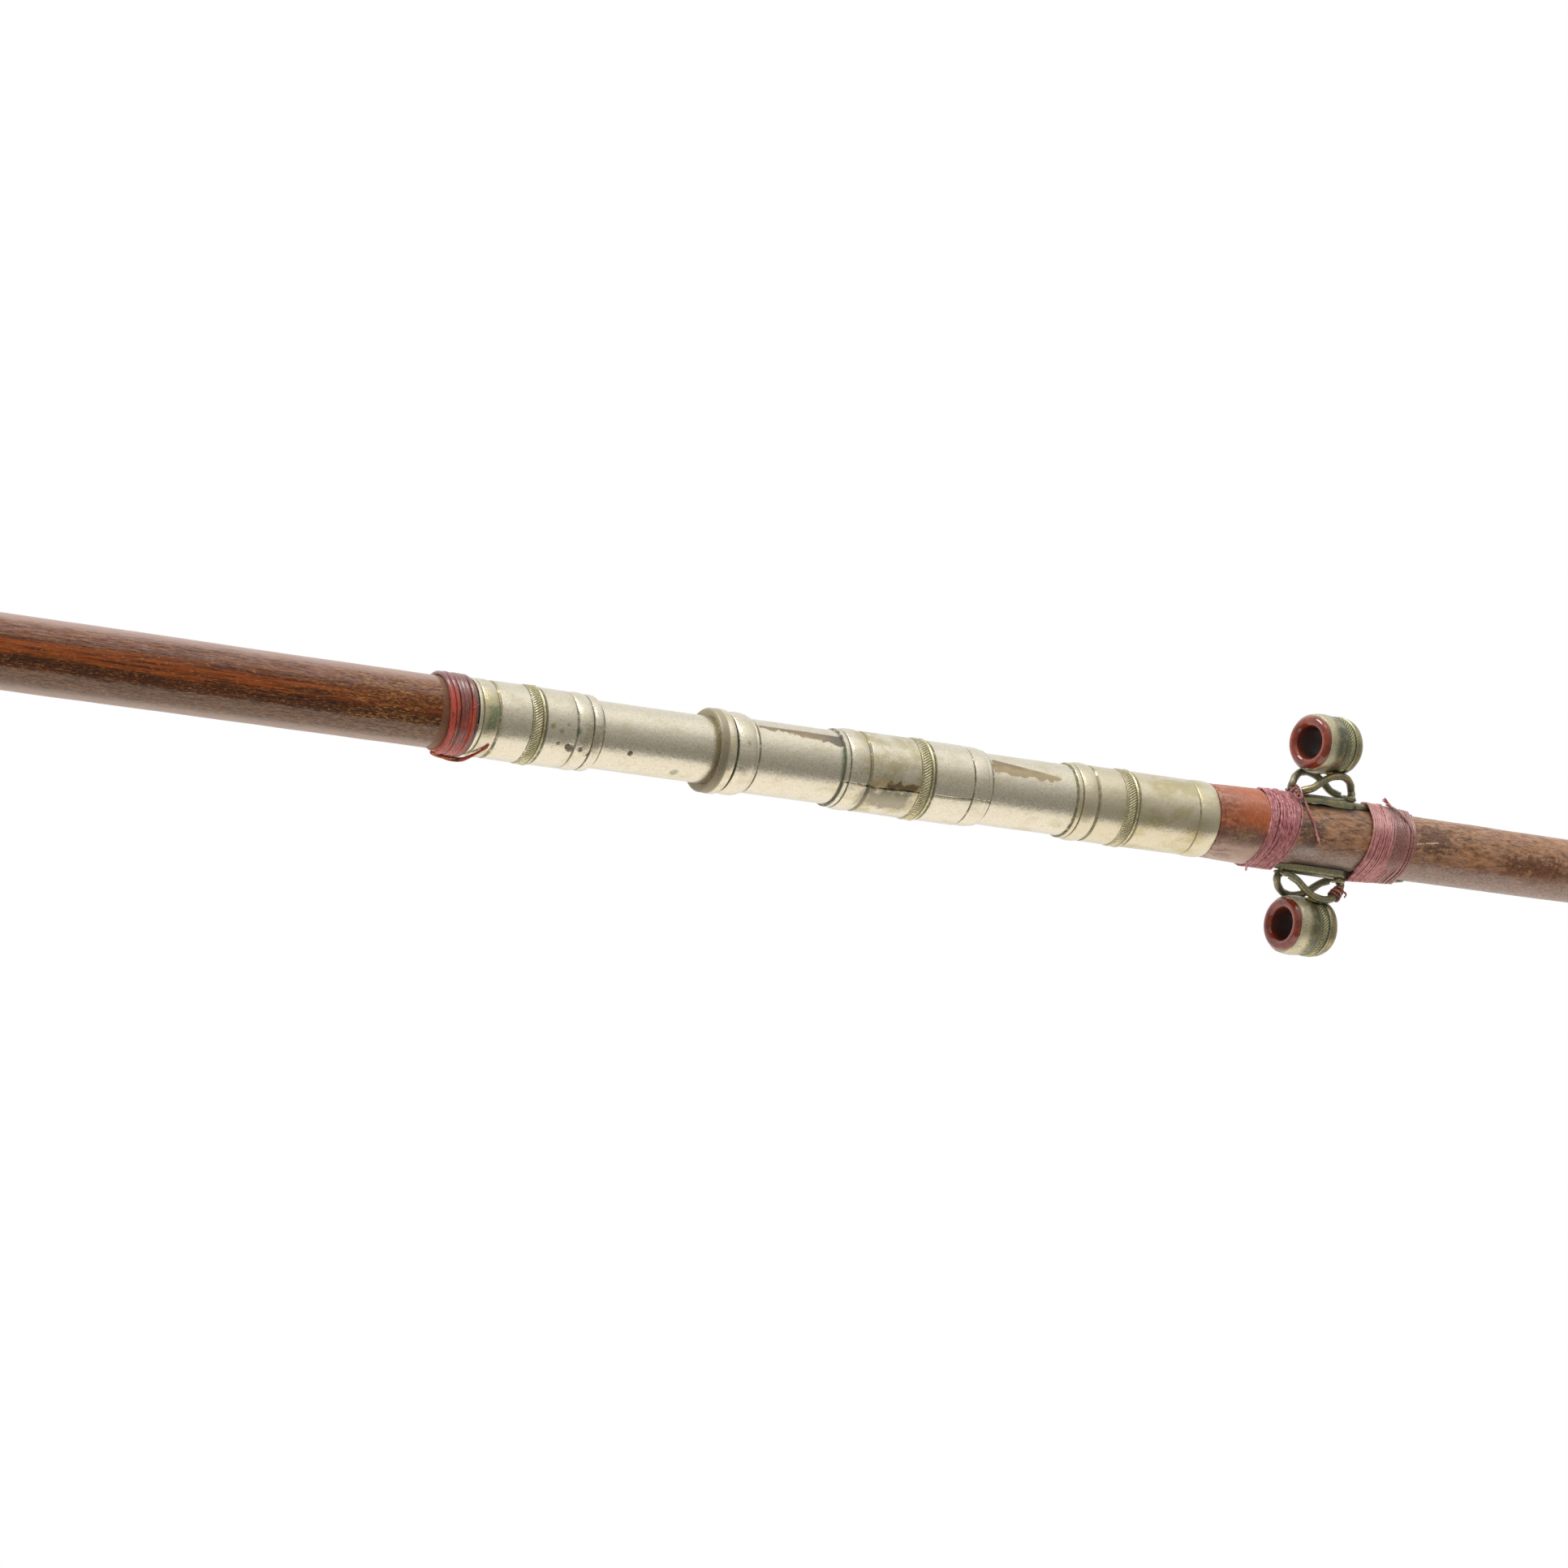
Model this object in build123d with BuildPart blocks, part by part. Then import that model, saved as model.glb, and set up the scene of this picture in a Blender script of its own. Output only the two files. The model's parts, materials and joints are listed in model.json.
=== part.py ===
"""Ferruled joint of a whole-cane fishing rod, with a pair of opposite line guides.

Millimetres. The origin is the centre of the butt-end saw cut, +X runs along the rod towards its tip,
and +Z points up through the upper guide. Stations are distances from the butt-end cut.
"""

from build123d import *
import os
from math import cos, radians, sin

# ---- Driving dimensions -------------------------------------------------------------------------
ROD_LENGTH = 540.0

# Butt cane
BUTT_CANE_RADIUS = 8.65
BUTT_CANE_TAPER = (62.0, 161.0)
BUTT_CANE_NECK_RADIUS = 8.4
BUTT_TENON = (200.0, 240.0)
BUTT_LUMEN_RADIUS = 3.2
BUTT_NODE = 50.0
BUTT_DOWEL = (190.0, 240.0)

# Tip cane
TIP_CANE_START = 303.0
TIP_CANE_RADIUS = 7.6
TIP_CANE_WAIST = (391.0, 417.0, 7.7)
TIP_CANE_SWELL = (431.0, 7.9)
TIP_CANE_TAPER_END = 492.0
TIP_LUMEN_RADIUS = 2.6
TIP_NODE = 489.0
TIP_DOWEL = (303.0, 350.0)

# Both canes
NODE_HALF_WIDTH = 2.6
NODE_HEIGHT = 0.5
DIAPHRAGM = 4.0

# Ferrule tubes
SLIDE_TUBE_RADIUS = 15.88 / 2
SLIDE_TUBE_BORE = 7.45
SLIDE_TUBE = (200.0, 266.6)
SLIDE_TUBE_CHAMFER = 0.3
END_PLUG = (258.6, 266.1)
SOCKET_CLEARANCE = 0.025
SOCKET_RADIUS = 8.725
SOCKET = (237.6, 302.5)
WATER_STOP = (299.3, 302.3)
WATER_STOP_CLEARANCE = 0.02
REAR_TUBE_RADIUS = 8.5
REAR_TUBE_BORE = 7.95
REAR_TUBE = (302.8, 388.0)

# Ferrule sleeves and mouth: bands are (start, end, radius), beads (centre, half width, base radius, height)
BUTT_SLEEVE = (174.6, 207.1)
BUTT_SLEEVE_RADIUS = 9.05
BUTT_SLEEVE_BANDS = [(174.6, 207.1, 8.7), (174.6, 175.7, 9.1), (180.4, 200.0, 9.05)]
BUTT_SLEEVE_BEADS = [(177.8, 2.1, 8.7, 0.45), (202.4, 1.9, 8.65, 0.45), (205.8, 1.2, 8.55, 0.4)]
BUTT_SLEEVE_RING = (188.5, 191.9, 9.4)
MOUTH_COLLAR = (237.4, 241.7)
MOUTH_COLLAR_BANDS = [(237.4, 241.7, 9.75), (237.6, 239.4, 9.9), (239.4, 241.4, 10.05)]
MOUTH_WELT = (242.1, 247.8)
MOUTH_WELT_BANDS = [(242.1, 247.8, 8.875)]
MOUTH_WELT_BEADS = [(244.95, 2.85, 8.725, 1.025)]
MIDDLE_SLEEVE = (270.8, 310.7)
MIDDLE_SLEEVE_RADIUS = 9.5
MIDDLE_SLEEVE_BANDS = [(270.8, 310.7, 9.125), (270.8, 272.1, 9.275), (277.9, 305.5, 9.5)]
MIDDLE_SLEEVE_BEADS = [(274.9, 2.75, 9.1, 0.55), (307.7, 2.0, 9.0, 0.4)]
MIDDLE_SLEEVE_RING = (291.3, 294.8, 9.85)
MIDDLE_SLEEVE_SEAM_ANGLE = 18.7
MIDDLE_SLEEVE_SEAM_WIDTH = 0.3
REAR_SLEEVE = (334.4, 374.1)
REAR_SLEEVE_RADIUS = 9.1
REAR_SLEEVE_BANDS = [(334.4, 374.1, 8.75), (334.4, 335.6, 9.0), (340.3, 368.0, 9.1)]
REAR_SLEEVE_BEADS = [(337.8, 2.1, 8.75, 0.65), (371.2, 2.8, 8.75, 0.5)]
REAR_SLEEVE_RING = (347.7, 351.2, 9.45)
RING_SEAT_DEPTH = 0.25
RING_ROUNDING = 0.22

# Pins through the butt ferrule, on the -Y side, a little below it
PIN_RADIUS = 0.75
PIN_INNER_END = 5.4
PIN_ANGLE = 24.0
BUTT_SLEEVE_PIN_TOP = 9.11
SLIDE_TUBE_PIN_TOP = 7.9
BUTT_SLEEVE_PIN_AT = 198.3
SLIDE_TUBE_PIN_AT = 215.1

# Thread
BUTT_WHIPPING = (167.2, 174.6)
BUTT_WHIPPING_TURNS = 7
THREAD_FLATTENING = 0.55
TAIL_WINDING = (374.1, 388.0)
TAIL_WINDING_RADII = (8.85, 9.25)
NEAR_WHIPPING = (388.0, 397.2)
FAR_WHIPPING = (416.5, 430.9)
WHIPPING_RADIUS = 8.45
NEAR_WHIPPING_CREST = 9.75
FAR_WHIPPING_CREST = (9.95, 8.75)
WHIPPING_CREST_WIDTH = 3.0

# Line guides: distances from the rod's axis, and from the guide's middle station
GUIDE_STATION = 406.0
BELL_HEIGHT = 22.1
BELL_LENGTH = 12.5
BELL_RADIUS = 7.2
BELL_REAR_RADIUS = 6.1
GUIDE_YAW = {"upper": 18.0, "lower": 11.0}
FOOT = (389.0, 432.5)
FOOT_TOP = 9.86
FOOT_UNDERSIDE = 6.8
FOOT_HALF_WIDTH = 2.6
FOOT_TOPS = [
    (389.0, 8.2),
    (391.5, 8.9),
    (397.0, 9.1),
    (397.6, 9.86),
    (415.0, 9.86),
    (416.4, 9.25),
    (424.0, 8.95),
    (432.5, 8.2),
]
FOOT_HALF_WIDTHS = [
    (389.0, 1.3),
    (397.6, 1.3),
    (398.4, 2.6),
    (414.2, 2.6),
    (415.0, 1.3),
    (431.5, 1.3),
    (432.5, 0.8),
]
FOOT_RELIEF = (399.0, 414.5)
FOOT_LIFT = {"upper": 0.5, "lower": 0.0}
WIRE_RADIUS = 0.925
BRIDGE_HALF_SPAN = 7.9
BRIDGE_TOP_HALF_SPAN = 3.6
BRIDGE_TOP_HEIGHT = 14.8
BRIDGE_FOOT_SPREAD = 1.66
BRIDGE_TOP_SPREAD = 3.7
BRIDGE_KNEE = (8.0, 2.3, 11.4)
BRIDGE_BENDS = [1.5, 2.6, 2.6, 1.5]
BUSH_BORE = 3.8
BUSH_TUBE_RADIUS = 5.0
BUSH_FLANGE_RADIUS = 6.5
BUSH_FLANGE = (-7.55, -4.6)
BUSH_LIP_RADIUS = 1.3
BUSH_REAR = 6.0
GUIDE_RING = (0.95, 3.35)
GUIDE_RING_RADII = (6.75, 7.2)
TIE_RADIUS = 1.65
TIE_LENGTH = 2.4
TIE_CHAMFER = 0.4

os.makedirs("parts", exist_ok=True)
pieces = {}


def keep(name, piece):
    """Labels a finished piece and writes its STEP file."""
    piece.part.label = name
    export_step(piece.part, f"parts/{name}.step")
    pieces[name] = piece


# ---- Turned pieces about the rod's axis ----------------------------------------------------------
def band(start, end, radius, mode=Mode.ADD):
    """A rectangle from the rod's axis out to a radius, between two stations."""
    with Locations((start, 0)):
        Rectangle(end - start, radius, align=(Align.MIN, Align.MIN), mode=mode)


def bead(centre, half_width, base_radius, height):
    """A rounded bead, half an ellipse high, standing on a base radius."""
    with Locations((centre, base_radius)):
        Ellipse(half_width, height)


def turned(bands, bores=(), beads=()):
    """A piece turned about the rod: outer bands and beads, less its bores."""
    with BuildPart() as piece:
        with BuildSketch(Plane.XZ):
            for start, end, radius in bands:
                band(start, end, radius)
            for shape in beads:
                bead(*shape)
            for start, end, radius in bores:
                band(start, end, radius, mode=Mode.SUBTRACT)
        revolve(axis=Axis.X)
    return piece


def milled_ring(start, end, radius, sleeve_radius):
    """A ring of rope-pattern wire seated in a shallow channel of its sleeve."""
    seat = sleeve_radius - RING_SEAT_DEPTH
    with BuildPart() as piece:
        with BuildSketch(Plane.XZ):
            with Locations((start, seat)):
                ring_section = Rectangle(end - start, radius - seat, align=(Align.MIN, Align.MIN))
            fillet(ring_section.vertices().group_by(Axis.Y)[-1], radius=RING_ROUNDING)
        revolve(axis=Axis.X)
    return piece


def ring_seat(start, end, radius, sleeve_radius):
    """The channel that a milled ring sits in, as a groove section to revolve away."""
    with BuildPart() as channel:
        with BuildSketch(Plane.XZ):
            with Locations((start, sleeve_radius - RING_SEAT_DEPTH)):
                Rectangle(end - start, radius, align=(Align.MIN, Align.MIN))
        revolve(axis=Axis.X)
    return channel


def radial_plane(station, angle):
    """A plane on the rod's axis that faces out on the -Y side, turned down by an angle."""
    outward = Vector(0, -cos(radians(angle)), -sin(radians(angle)))
    return Plane(origin=(station, 0, 0), x_dir=(1, 0, 0), z_dir=outward)


def radial_pin(station, top):
    """A round pin driven in towards the rod's axis, its head at a given distance from the axis."""
    with BuildPart() as pin:
        with BuildSketch(radial_plane(station, PIN_ANGLE).offset(PIN_INNER_END)):
            Circle(PIN_RADIUS)
        extrude(amount=top - PIN_INNER_END)
    return pin


# ---- Pins ----------------------------------------------------------------------------------------
butt_sleeve_pin = radial_pin(BUTT_SLEEVE_PIN_AT, BUTT_SLEEVE_PIN_TOP)
slide_tube_pin = radial_pin(SLIDE_TUBE_PIN_AT, SLIDE_TUBE_PIN_TOP)

# ---- Butt cane: a hollow culm with one node, turned down to a tenon ------------------------------
with BuildPart() as butt_cane:
    with BuildSketch(Plane.XZ):
        with BuildLine():
            Polyline(
                (0, 0),
                (0, BUTT_CANE_RADIUS),
                (BUTT_CANE_TAPER[0], BUTT_CANE_RADIUS),
                (BUTT_CANE_TAPER[1], BUTT_CANE_NECK_RADIUS),
                (BUTT_TENON[0], BUTT_CANE_NECK_RADIUS),
                (BUTT_TENON[0], SLIDE_TUBE_BORE),
                (BUTT_TENON[1], SLIDE_TUBE_BORE),
                (BUTT_TENON[1], 0),
                close=True,
            )
        make_face()
        bead(BUTT_NODE, NODE_HALF_WIDTH, BUTT_CANE_RADIUS, NODE_HEIGHT)
        band(0, BUTT_NODE - DIAPHRAGM / 2, BUTT_LUMEN_RADIUS, mode=Mode.SUBTRACT)
        band(BUTT_NODE + DIAPHRAGM / 2, BUTT_TENON[1], BUTT_LUMEN_RADIUS, mode=Mode.SUBTRACT)
    revolve(axis=Axis.X)
    add(butt_sleeve_pin.part, mode=Mode.SUBTRACT)
    add(slide_tube_pin.part, mode=Mode.SUBTRACT)
keep("butt_cane", butt_cane)

keep("butt_cane_dowel", turned([(*BUTT_DOWEL, BUTT_LUMEN_RADIUS)]))

# ---- Male half of the ferrule ---------------------------------------------------------------------
with BuildPart() as male_slide_tube:
    with BuildSketch(Plane.YZ.offset(SLIDE_TUBE[0])):
        Circle(SLIDE_TUBE_RADIUS)
        Circle(SLIDE_TUBE_BORE, mode=Mode.SUBTRACT)
    extrude(amount=SLIDE_TUBE[1] - SLIDE_TUBE[0])
    entry_edge = male_slide_tube.edges().group_by(Axis.X)[-1].sort_by(SortBy.RADIUS)[-1]
    chamfer(entry_edge, length=SLIDE_TUBE_CHAMFER)
    add(slide_tube_pin.part, mode=Mode.SUBTRACT)
keep("male_slide_tube", male_slide_tube)

keep("male_end_plug", turned([(*END_PLUG, SLIDE_TUBE_BORE)]))

butt_sleeve_blank = turned(
    BUTT_SLEEVE_BANDS,
    beads=BUTT_SLEEVE_BEADS,
    bores=[
        (BUTT_SLEEVE[0], BUTT_TENON[0], BUTT_CANE_NECK_RADIUS),
        (BUTT_TENON[0], BUTT_SLEEVE[1], SLIDE_TUBE_RADIUS),
    ],
)
with BuildPart() as butt_sleeve:
    add(butt_sleeve_blank.part)
    add(ring_seat(*BUTT_SLEEVE_RING, BUTT_SLEEVE_RADIUS).part, mode=Mode.SUBTRACT)
    add(butt_sleeve_pin.part, mode=Mode.SUBTRACT)
keep("butt_sleeve", butt_sleeve)
keep("butt_sleeve_milled_ring", milled_ring(*BUTT_SLEEVE_RING, BUTT_SLEEVE_RADIUS))
keep("butt_sleeve_pin", butt_sleeve_pin)
keep("slide_tube_pin", slide_tube_pin)

# ---- Red whipping: heavy thread in side-by-side turns, with the ridges touching --------------------
thread_pitch = (BUTT_WHIPPING[1] - BUTT_WHIPPING[0]) / BUTT_WHIPPING_TURNS
with BuildPart() as butt_whipping:
    with BuildSketch(Plane.XZ):
        with Locations((BUTT_WHIPPING[0], BUTT_CANE_NECK_RADIUS)):
            Rectangle(BUTT_WHIPPING[1] - BUTT_WHIPPING[0], THREAD_FLATTENING, align=(Align.MIN, Align.MIN))
        for turn in range(BUTT_WHIPPING_TURNS):
            station = BUTT_WHIPPING[0] + (turn + 0.5) * thread_pitch
            bead(station, thread_pitch / 2, BUTT_CANE_NECK_RADIUS + THREAD_FLATTENING, THREAD_FLATTENING)
        band(BUTT_WHIPPING[0], BUTT_WHIPPING[1], BUTT_CANE_NECK_RADIUS, mode=Mode.SUBTRACT)
    revolve(axis=Axis.X)
keep("butt_whipping", butt_whipping)

# ---- Female half of the ferrule -------------------------------------------------------------------
socket_bore = SLIDE_TUBE_RADIUS + SOCKET_CLEARANCE
keep("female_socket_tube", turned([(*SOCKET, SOCKET_RADIUS)], bores=[(*SOCKET, socket_bore)]))
keep("mouth_collar", turned(MOUTH_COLLAR_BANDS, bores=[(*MOUTH_COLLAR, SOCKET_RADIUS)]))
keep("mouth_welt", turned(MOUTH_WELT_BANDS, beads=MOUTH_WELT_BEADS, bores=[(*MOUTH_WELT, SOCKET_RADIUS)]))
keep("socket_water_stop", turned([(*WATER_STOP, socket_bore - WATER_STOP_CLEARANCE)]))


def cut_seam(inner_radius, outer_radius, start, end):
    """The open seam: a narrow slot through a sleeve's wall along its whole length."""
    seam_plane = radial_plane((start + end) / 2, MIDDLE_SLEEVE_SEAM_ANGLE).offset(inner_radius)
    with BuildPart() as slot:
        with BuildSketch(seam_plane):
            Rectangle(end - start + 1, MIDDLE_SLEEVE_SEAM_WIDTH)
        extrude(amount=outer_radius - inner_radius)
    return slot


seam = cut_seam(REAR_TUBE_RADIUS - 1, MIDDLE_SLEEVE_RING[2] + 1, *MIDDLE_SLEEVE)
middle_sleeve_blank = turned(
    MIDDLE_SLEEVE_BANDS,
    beads=MIDDLE_SLEEVE_BEADS,
    bores=[
        (MIDDLE_SLEEVE[0], SOCKET[1], SOCKET_RADIUS),
        (SOCKET[1], MIDDLE_SLEEVE[1], REAR_TUBE_RADIUS),
    ],
)
with BuildPart() as middle_sleeve:
    add(middle_sleeve_blank.part)
    add(ring_seat(*MIDDLE_SLEEVE_RING, MIDDLE_SLEEVE_RADIUS).part, mode=Mode.SUBTRACT)
    add(seam.part, mode=Mode.SUBTRACT)
keep("middle_sleeve", middle_sleeve)
with BuildPart() as middle_sleeve_milled_ring:
    add(milled_ring(*MIDDLE_SLEEVE_RING, MIDDLE_SLEEVE_RADIUS).part)
    add(seam.part, mode=Mode.SUBTRACT)
keep("middle_sleeve_milled_ring", middle_sleeve_milled_ring)

keep("rear_tube", turned([(*REAR_TUBE, REAR_TUBE_RADIUS)], bores=[(*REAR_TUBE, REAR_TUBE_BORE)]))

rear_sleeve_blank = turned(
    REAR_SLEEVE_BANDS,
    beads=REAR_SLEEVE_BEADS,
    bores=[(*REAR_SLEEVE, REAR_TUBE_RADIUS)],
)
with BuildPart() as rear_sleeve:
    add(rear_sleeve_blank.part)
    add(ring_seat(*REAR_SLEEVE_RING, REAR_SLEEVE_RADIUS).part, mode=Mode.SUBTRACT)
keep("rear_sleeve", rear_sleeve)
keep("rear_sleeve_milled_ring", milled_ring(*REAR_SLEEVE_RING, REAR_SLEEVE_RADIUS))

# ---- Tip cane: a hollow culm with one node, waisted between the guide whippings --------------------
with BuildPart() as tip_cane:
    with BuildSketch(Plane.XZ):
        with BuildLine():
            Polyline(
                (TIP_CANE_START, 0),
                (TIP_CANE_START, REAR_TUBE_BORE),
                (REAR_TUBE[1], REAR_TUBE_BORE),
                (TIP_CANE_WAIST[0], TIP_CANE_WAIST[2]),
                (TIP_CANE_WAIST[1], TIP_CANE_WAIST[2]),
                TIP_CANE_SWELL,
                (TIP_CANE_TAPER_END, TIP_CANE_RADIUS),
                (ROD_LENGTH, TIP_CANE_RADIUS),
                (ROD_LENGTH, 0),
                close=True,
            )
        make_face()
        bead(TIP_NODE, NODE_HALF_WIDTH, TIP_CANE_RADIUS, NODE_HEIGHT)
        band(TIP_CANE_START, TIP_NODE - DIAPHRAGM / 2, TIP_LUMEN_RADIUS, mode=Mode.SUBTRACT)
        band(TIP_NODE + DIAPHRAGM / 2, ROD_LENGTH, TIP_LUMEN_RADIUS, mode=Mode.SUBTRACT)
    revolve(axis=Axis.X)
keep("tip_cane", tip_cane)
tip_lumen = turned([(TIP_CANE_START, ROD_LENGTH, TIP_LUMEN_RADIUS)])

keep("tip_cane_dowel", turned([(*TIP_DOWEL, TIP_LUMEN_RADIUS)]))

# ---- Fine winding over the tail of the rear tube ---------------------------------------------------
with BuildPart() as tail_winding:
    with BuildSketch(Plane.XZ):
        with BuildLine():
            Polyline(
                (TAIL_WINDING[0], REAR_TUBE_RADIUS),
                (TAIL_WINDING[0], TAIL_WINDING_RADII[0]),
                (TAIL_WINDING[1], TAIL_WINDING_RADII[1]),
                (TAIL_WINDING[1], REAR_TUBE_RADIUS),
                close=True,
            )
        make_face()
    revolve(axis=Axis.X)
keep("tail_winding", tail_winding)


# ---- Line guides ------------------------------------------------------------------------------------
def bell_plane(name, side):
    """The upright plane through a bell's axis: local x runs to its rear, local y away from the rod."""
    yaw = radians(GUIDE_YAW[name])
    rear = Vector(cos(yaw), sin(yaw), 0)
    away = Vector(0, 0, side)
    return Plane(origin=(GUIDE_STATION, 0, side * BELL_HEIGHT), x_dir=rear, z_dir=rear.cross(away))


def revolve_section(plane, section):
    """Revolves a section about the local x axis of the plane it was drawn on."""
    with BuildPart() as piece:
        revolve(section, axis=Axis(plane.origin, plane.x_dir))
    return piece


def bell_section(plane):
    """A barrel shell: open lip in front, channel for the milled ring, rounded-in rear."""
    front = -BELL_LENGTH / 2
    rear = BELL_LENGTH / 2
    with BuildSketch(plane) as section:
        with BuildLine():
            lip = Line((front, BUSH_FLANGE_RADIUS), (front, BELL_RADIUS - 0.3))
            crown = ThreePointArc(lip @ 1, (front / 2, BELL_RADIUS), (GUIDE_RING[0], BELL_RADIUS - 0.15))
            channel = Polyline(
                crown @ 1,
                (GUIDE_RING[0], GUIDE_RING_RADII[0]),
                (GUIDE_RING[1], GUIDE_RING_RADII[0]),
                (GUIDE_RING[1], GUIDE_RING_RADII[1] - 0.2),
            )
            shoulder = ThreePointArc(
                channel @ 1, (rear - 1.1, BELL_REAR_RADIUS + 0.25), (rear, BUSH_TUBE_RADIUS + 0.35)
            )
            Polyline(
                shoulder @ 1,
                (rear, BUSH_TUBE_RADIUS),
                (BUSH_FLANGE[1], BUSH_TUBE_RADIUS),
                (BUSH_FLANGE[1], BUSH_FLANGE_RADIUS),
                lip @ 0,
            )
        make_face()
    return section.sketch


def bush_section(plane):
    """An agate bush: a rounded flange in front, and a straight throat right through the bell."""
    front, flange_back = BUSH_FLANGE
    face_radius = BUSH_BORE + BUSH_LIP_RADIUS
    quarter = BUSH_LIP_RADIUS * (1 - cos(radians(45)))
    with BuildSketch(plane) as section:
        with BuildLine():
            throat = Line((BUSH_REAR, BUSH_BORE), (front + BUSH_LIP_RADIUS, BUSH_BORE))
            entry = ThreePointArc(throat @ 1, (front + quarter, BUSH_BORE + quarter), (front, face_radius))
            rim = ThreePointArc(
                entry @ 1,
                (front + quarter, BUSH_FLANGE_RADIUS - quarter),
                (front + BUSH_LIP_RADIUS, BUSH_FLANGE_RADIUS),
            )
            Polyline(
                rim @ 1,
                (flange_back, BUSH_FLANGE_RADIUS),
                (flange_back, BUSH_TUBE_RADIUS),
                (BUSH_REAR, BUSH_TUBE_RADIUS),
                throat @ 0,
            )
        make_face()
    return section.sketch


def guide_ring_section(plane):
    """The milled ring round a bell, rounded outside."""
    inner_radius, outer_radius = GUIDE_RING_RADII
    with BuildSketch(plane) as section:
        with Locations((GUIDE_RING[0], inner_radius)):
            blank = Rectangle(
                GUIDE_RING[1] - GUIDE_RING[0], outer_radius - inner_radius, align=(Align.MIN, Align.MIN)
            )
        fillet(blank.vertices().group_by(Axis.Y)[-1], radius=RING_ROUNDING)
    return section.sketch


def bridge_point(along, spread, height, side, yaw):
    """A point of a bridge wire: the bridge twists with height from its feet to the bell's heading."""
    twist = radians(yaw) * (height - FOOT_TOP) / (BRIDGE_TOP_HEIGHT - FOOT_TOP)
    x = GUIDE_STATION + along * cos(twist) - spread * sin(twist)
    y = along * sin(twist) + spread * cos(twist)
    return (x, y, side * height)


def bridge_points(hand, side, yaw):
    """The corners of one bridge wire: foot, knee and shoulder, and back down."""
    knee_along, knee_spread, knee_height = BRIDGE_KNEE
    corners = [
        (-BRIDGE_HALF_SPAN, BRIDGE_FOOT_SPREAD, FOOT_TOP),
        (-knee_along, knee_spread, knee_height),
        (-BRIDGE_TOP_HALF_SPAN, BRIDGE_TOP_SPREAD, BRIDGE_TOP_HEIGHT),
        (BRIDGE_TOP_HALF_SPAN, BRIDGE_TOP_SPREAD, BRIDGE_TOP_HEIGHT),
        (knee_along, knee_spread, knee_height),
        (BRIDGE_HALF_SPAN, BRIDGE_FOOT_SPREAD, FOOT_TOP),
    ]
    return [bridge_point(along, hand * spread, height, side, yaw) for along, spread, height in corners]


def guide_foot(name, side):
    """A flat foot, hollowed to fit the cane, with thin narrow tips that go under the whippings."""
    start, end = FOOT
    far_edge = [(station, -half) for station, half in reversed(FOOT_HALF_WIDTHS)]
    with BuildPart() as foot:
        with BuildSketch(Plane.XZ):
            with BuildLine():
                Polyline(
                    (start, side * FOOT_UNDERSIDE),
                    *[(station, side * height) for station, height in FOOT_TOPS],
                    (end, side * FOOT_UNDERSIDE),
                    close=True,
                )
            make_face()
        extrude(amount=FOOT_HALF_WIDTH, both=True)
        with BuildSketch(Plane.XY):
            with BuildLine():
                Polyline(*FOOT_HALF_WIDTHS, *far_edge, close=True)
            make_face()
        extrude(amount=side * FOOT_TOP, mode=Mode.INTERSECT)
        add(tip_cane.part, mode=Mode.SUBTRACT)
        if FOOT_LIFT[name] > 0:
            with BuildSketch(Plane.XZ):
                band(*FOOT_RELIEF, TIP_CANE_WAIST[2] + FOOT_LIFT[name])
            revolve(axis=Axis.X, mode=Mode.SUBTRACT)
    return foot


def guide_bridge(side, yaw):
    """Two bent wires, one each side of the bell, standing on the foot."""
    with BuildPart() as bridge:
        for hand in (-1, 1):
            with BuildLine() as wire_line:
                FilletPolyline(*bridge_points(hand, side, yaw), radius=BRIDGE_BENDS)
            with BuildSketch(Plane(origin=wire_line.line @ 0, z_dir=wire_line.line % 0)):
                Circle(WIRE_RADIUS)
            sweep(path=wire_line.line)
    return bridge


def trim_to_foot(bridge, side):
    """Cuts the wires' ends level with the foot's top."""
    with BuildPart() as trimmed:
        add(bridge.part)
        split(bisect_by=Plane.XY.offset(side * FOOT_TOP), keep=Keep.TOP if side > 0 else Keep.BOTTOM)
    return trimmed


feet = {}
for name, side in (("upper", 1), ("lower", -1)):
    plane = bell_plane(name, side)
    feet[name] = guide_foot(name, side)
    keep(f"{name}_guide_foot", feet[name])
    keep(f"{name}_guide_bridge", trim_to_foot(guide_bridge(side, GUIDE_YAW[name]), side))
    keep(f"{name}_guide_bell", revolve_section(plane, bell_section(plane)))
    keep(f"{name}_guide_milled_ring", revolve_section(plane, guide_ring_section(plane)))
    keep(f"{name}_guide_agate_bush", revolve_section(plane, bush_section(plane)))

# ---- Thread tie on the lower bridge's near wire ----------------------------------------------------
tie_corners = bridge_points(-1, -1, GUIDE_YAW["lower"])
tie_shoulder = Vector(*tie_corners[3])
tie_knee = Vector(*tie_corners[4])
tie_run = tie_knee - tie_shoulder
tie_middle = tie_shoulder + tie_run * 0.5
tie_plane = Plane(origin=tie_middle, z_dir=tie_run)
with BuildPart() as lower_guide_thread_tie:
    with BuildSketch(tie_plane.offset(-TIE_LENGTH / 2)):
        Circle(TIE_RADIUS)
        Circle(WIRE_RADIUS, mode=Mode.SUBTRACT)
    extrude(amount=TIE_LENGTH)
    outer_edges = lower_guide_thread_tie.edges().filter_by(GeomType.CIRCLE).group_by(SortBy.RADIUS)[-1]
    chamfer(outer_edges, length=TIE_CHAMFER)
    add(pieces["lower_guide_bridge"].part, mode=Mode.SUBTRACT)
    add(pieces["lower_guide_bell"].part, mode=Mode.SUBTRACT)
keep("lower_guide_thread_tie", lower_guide_thread_tie)


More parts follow.
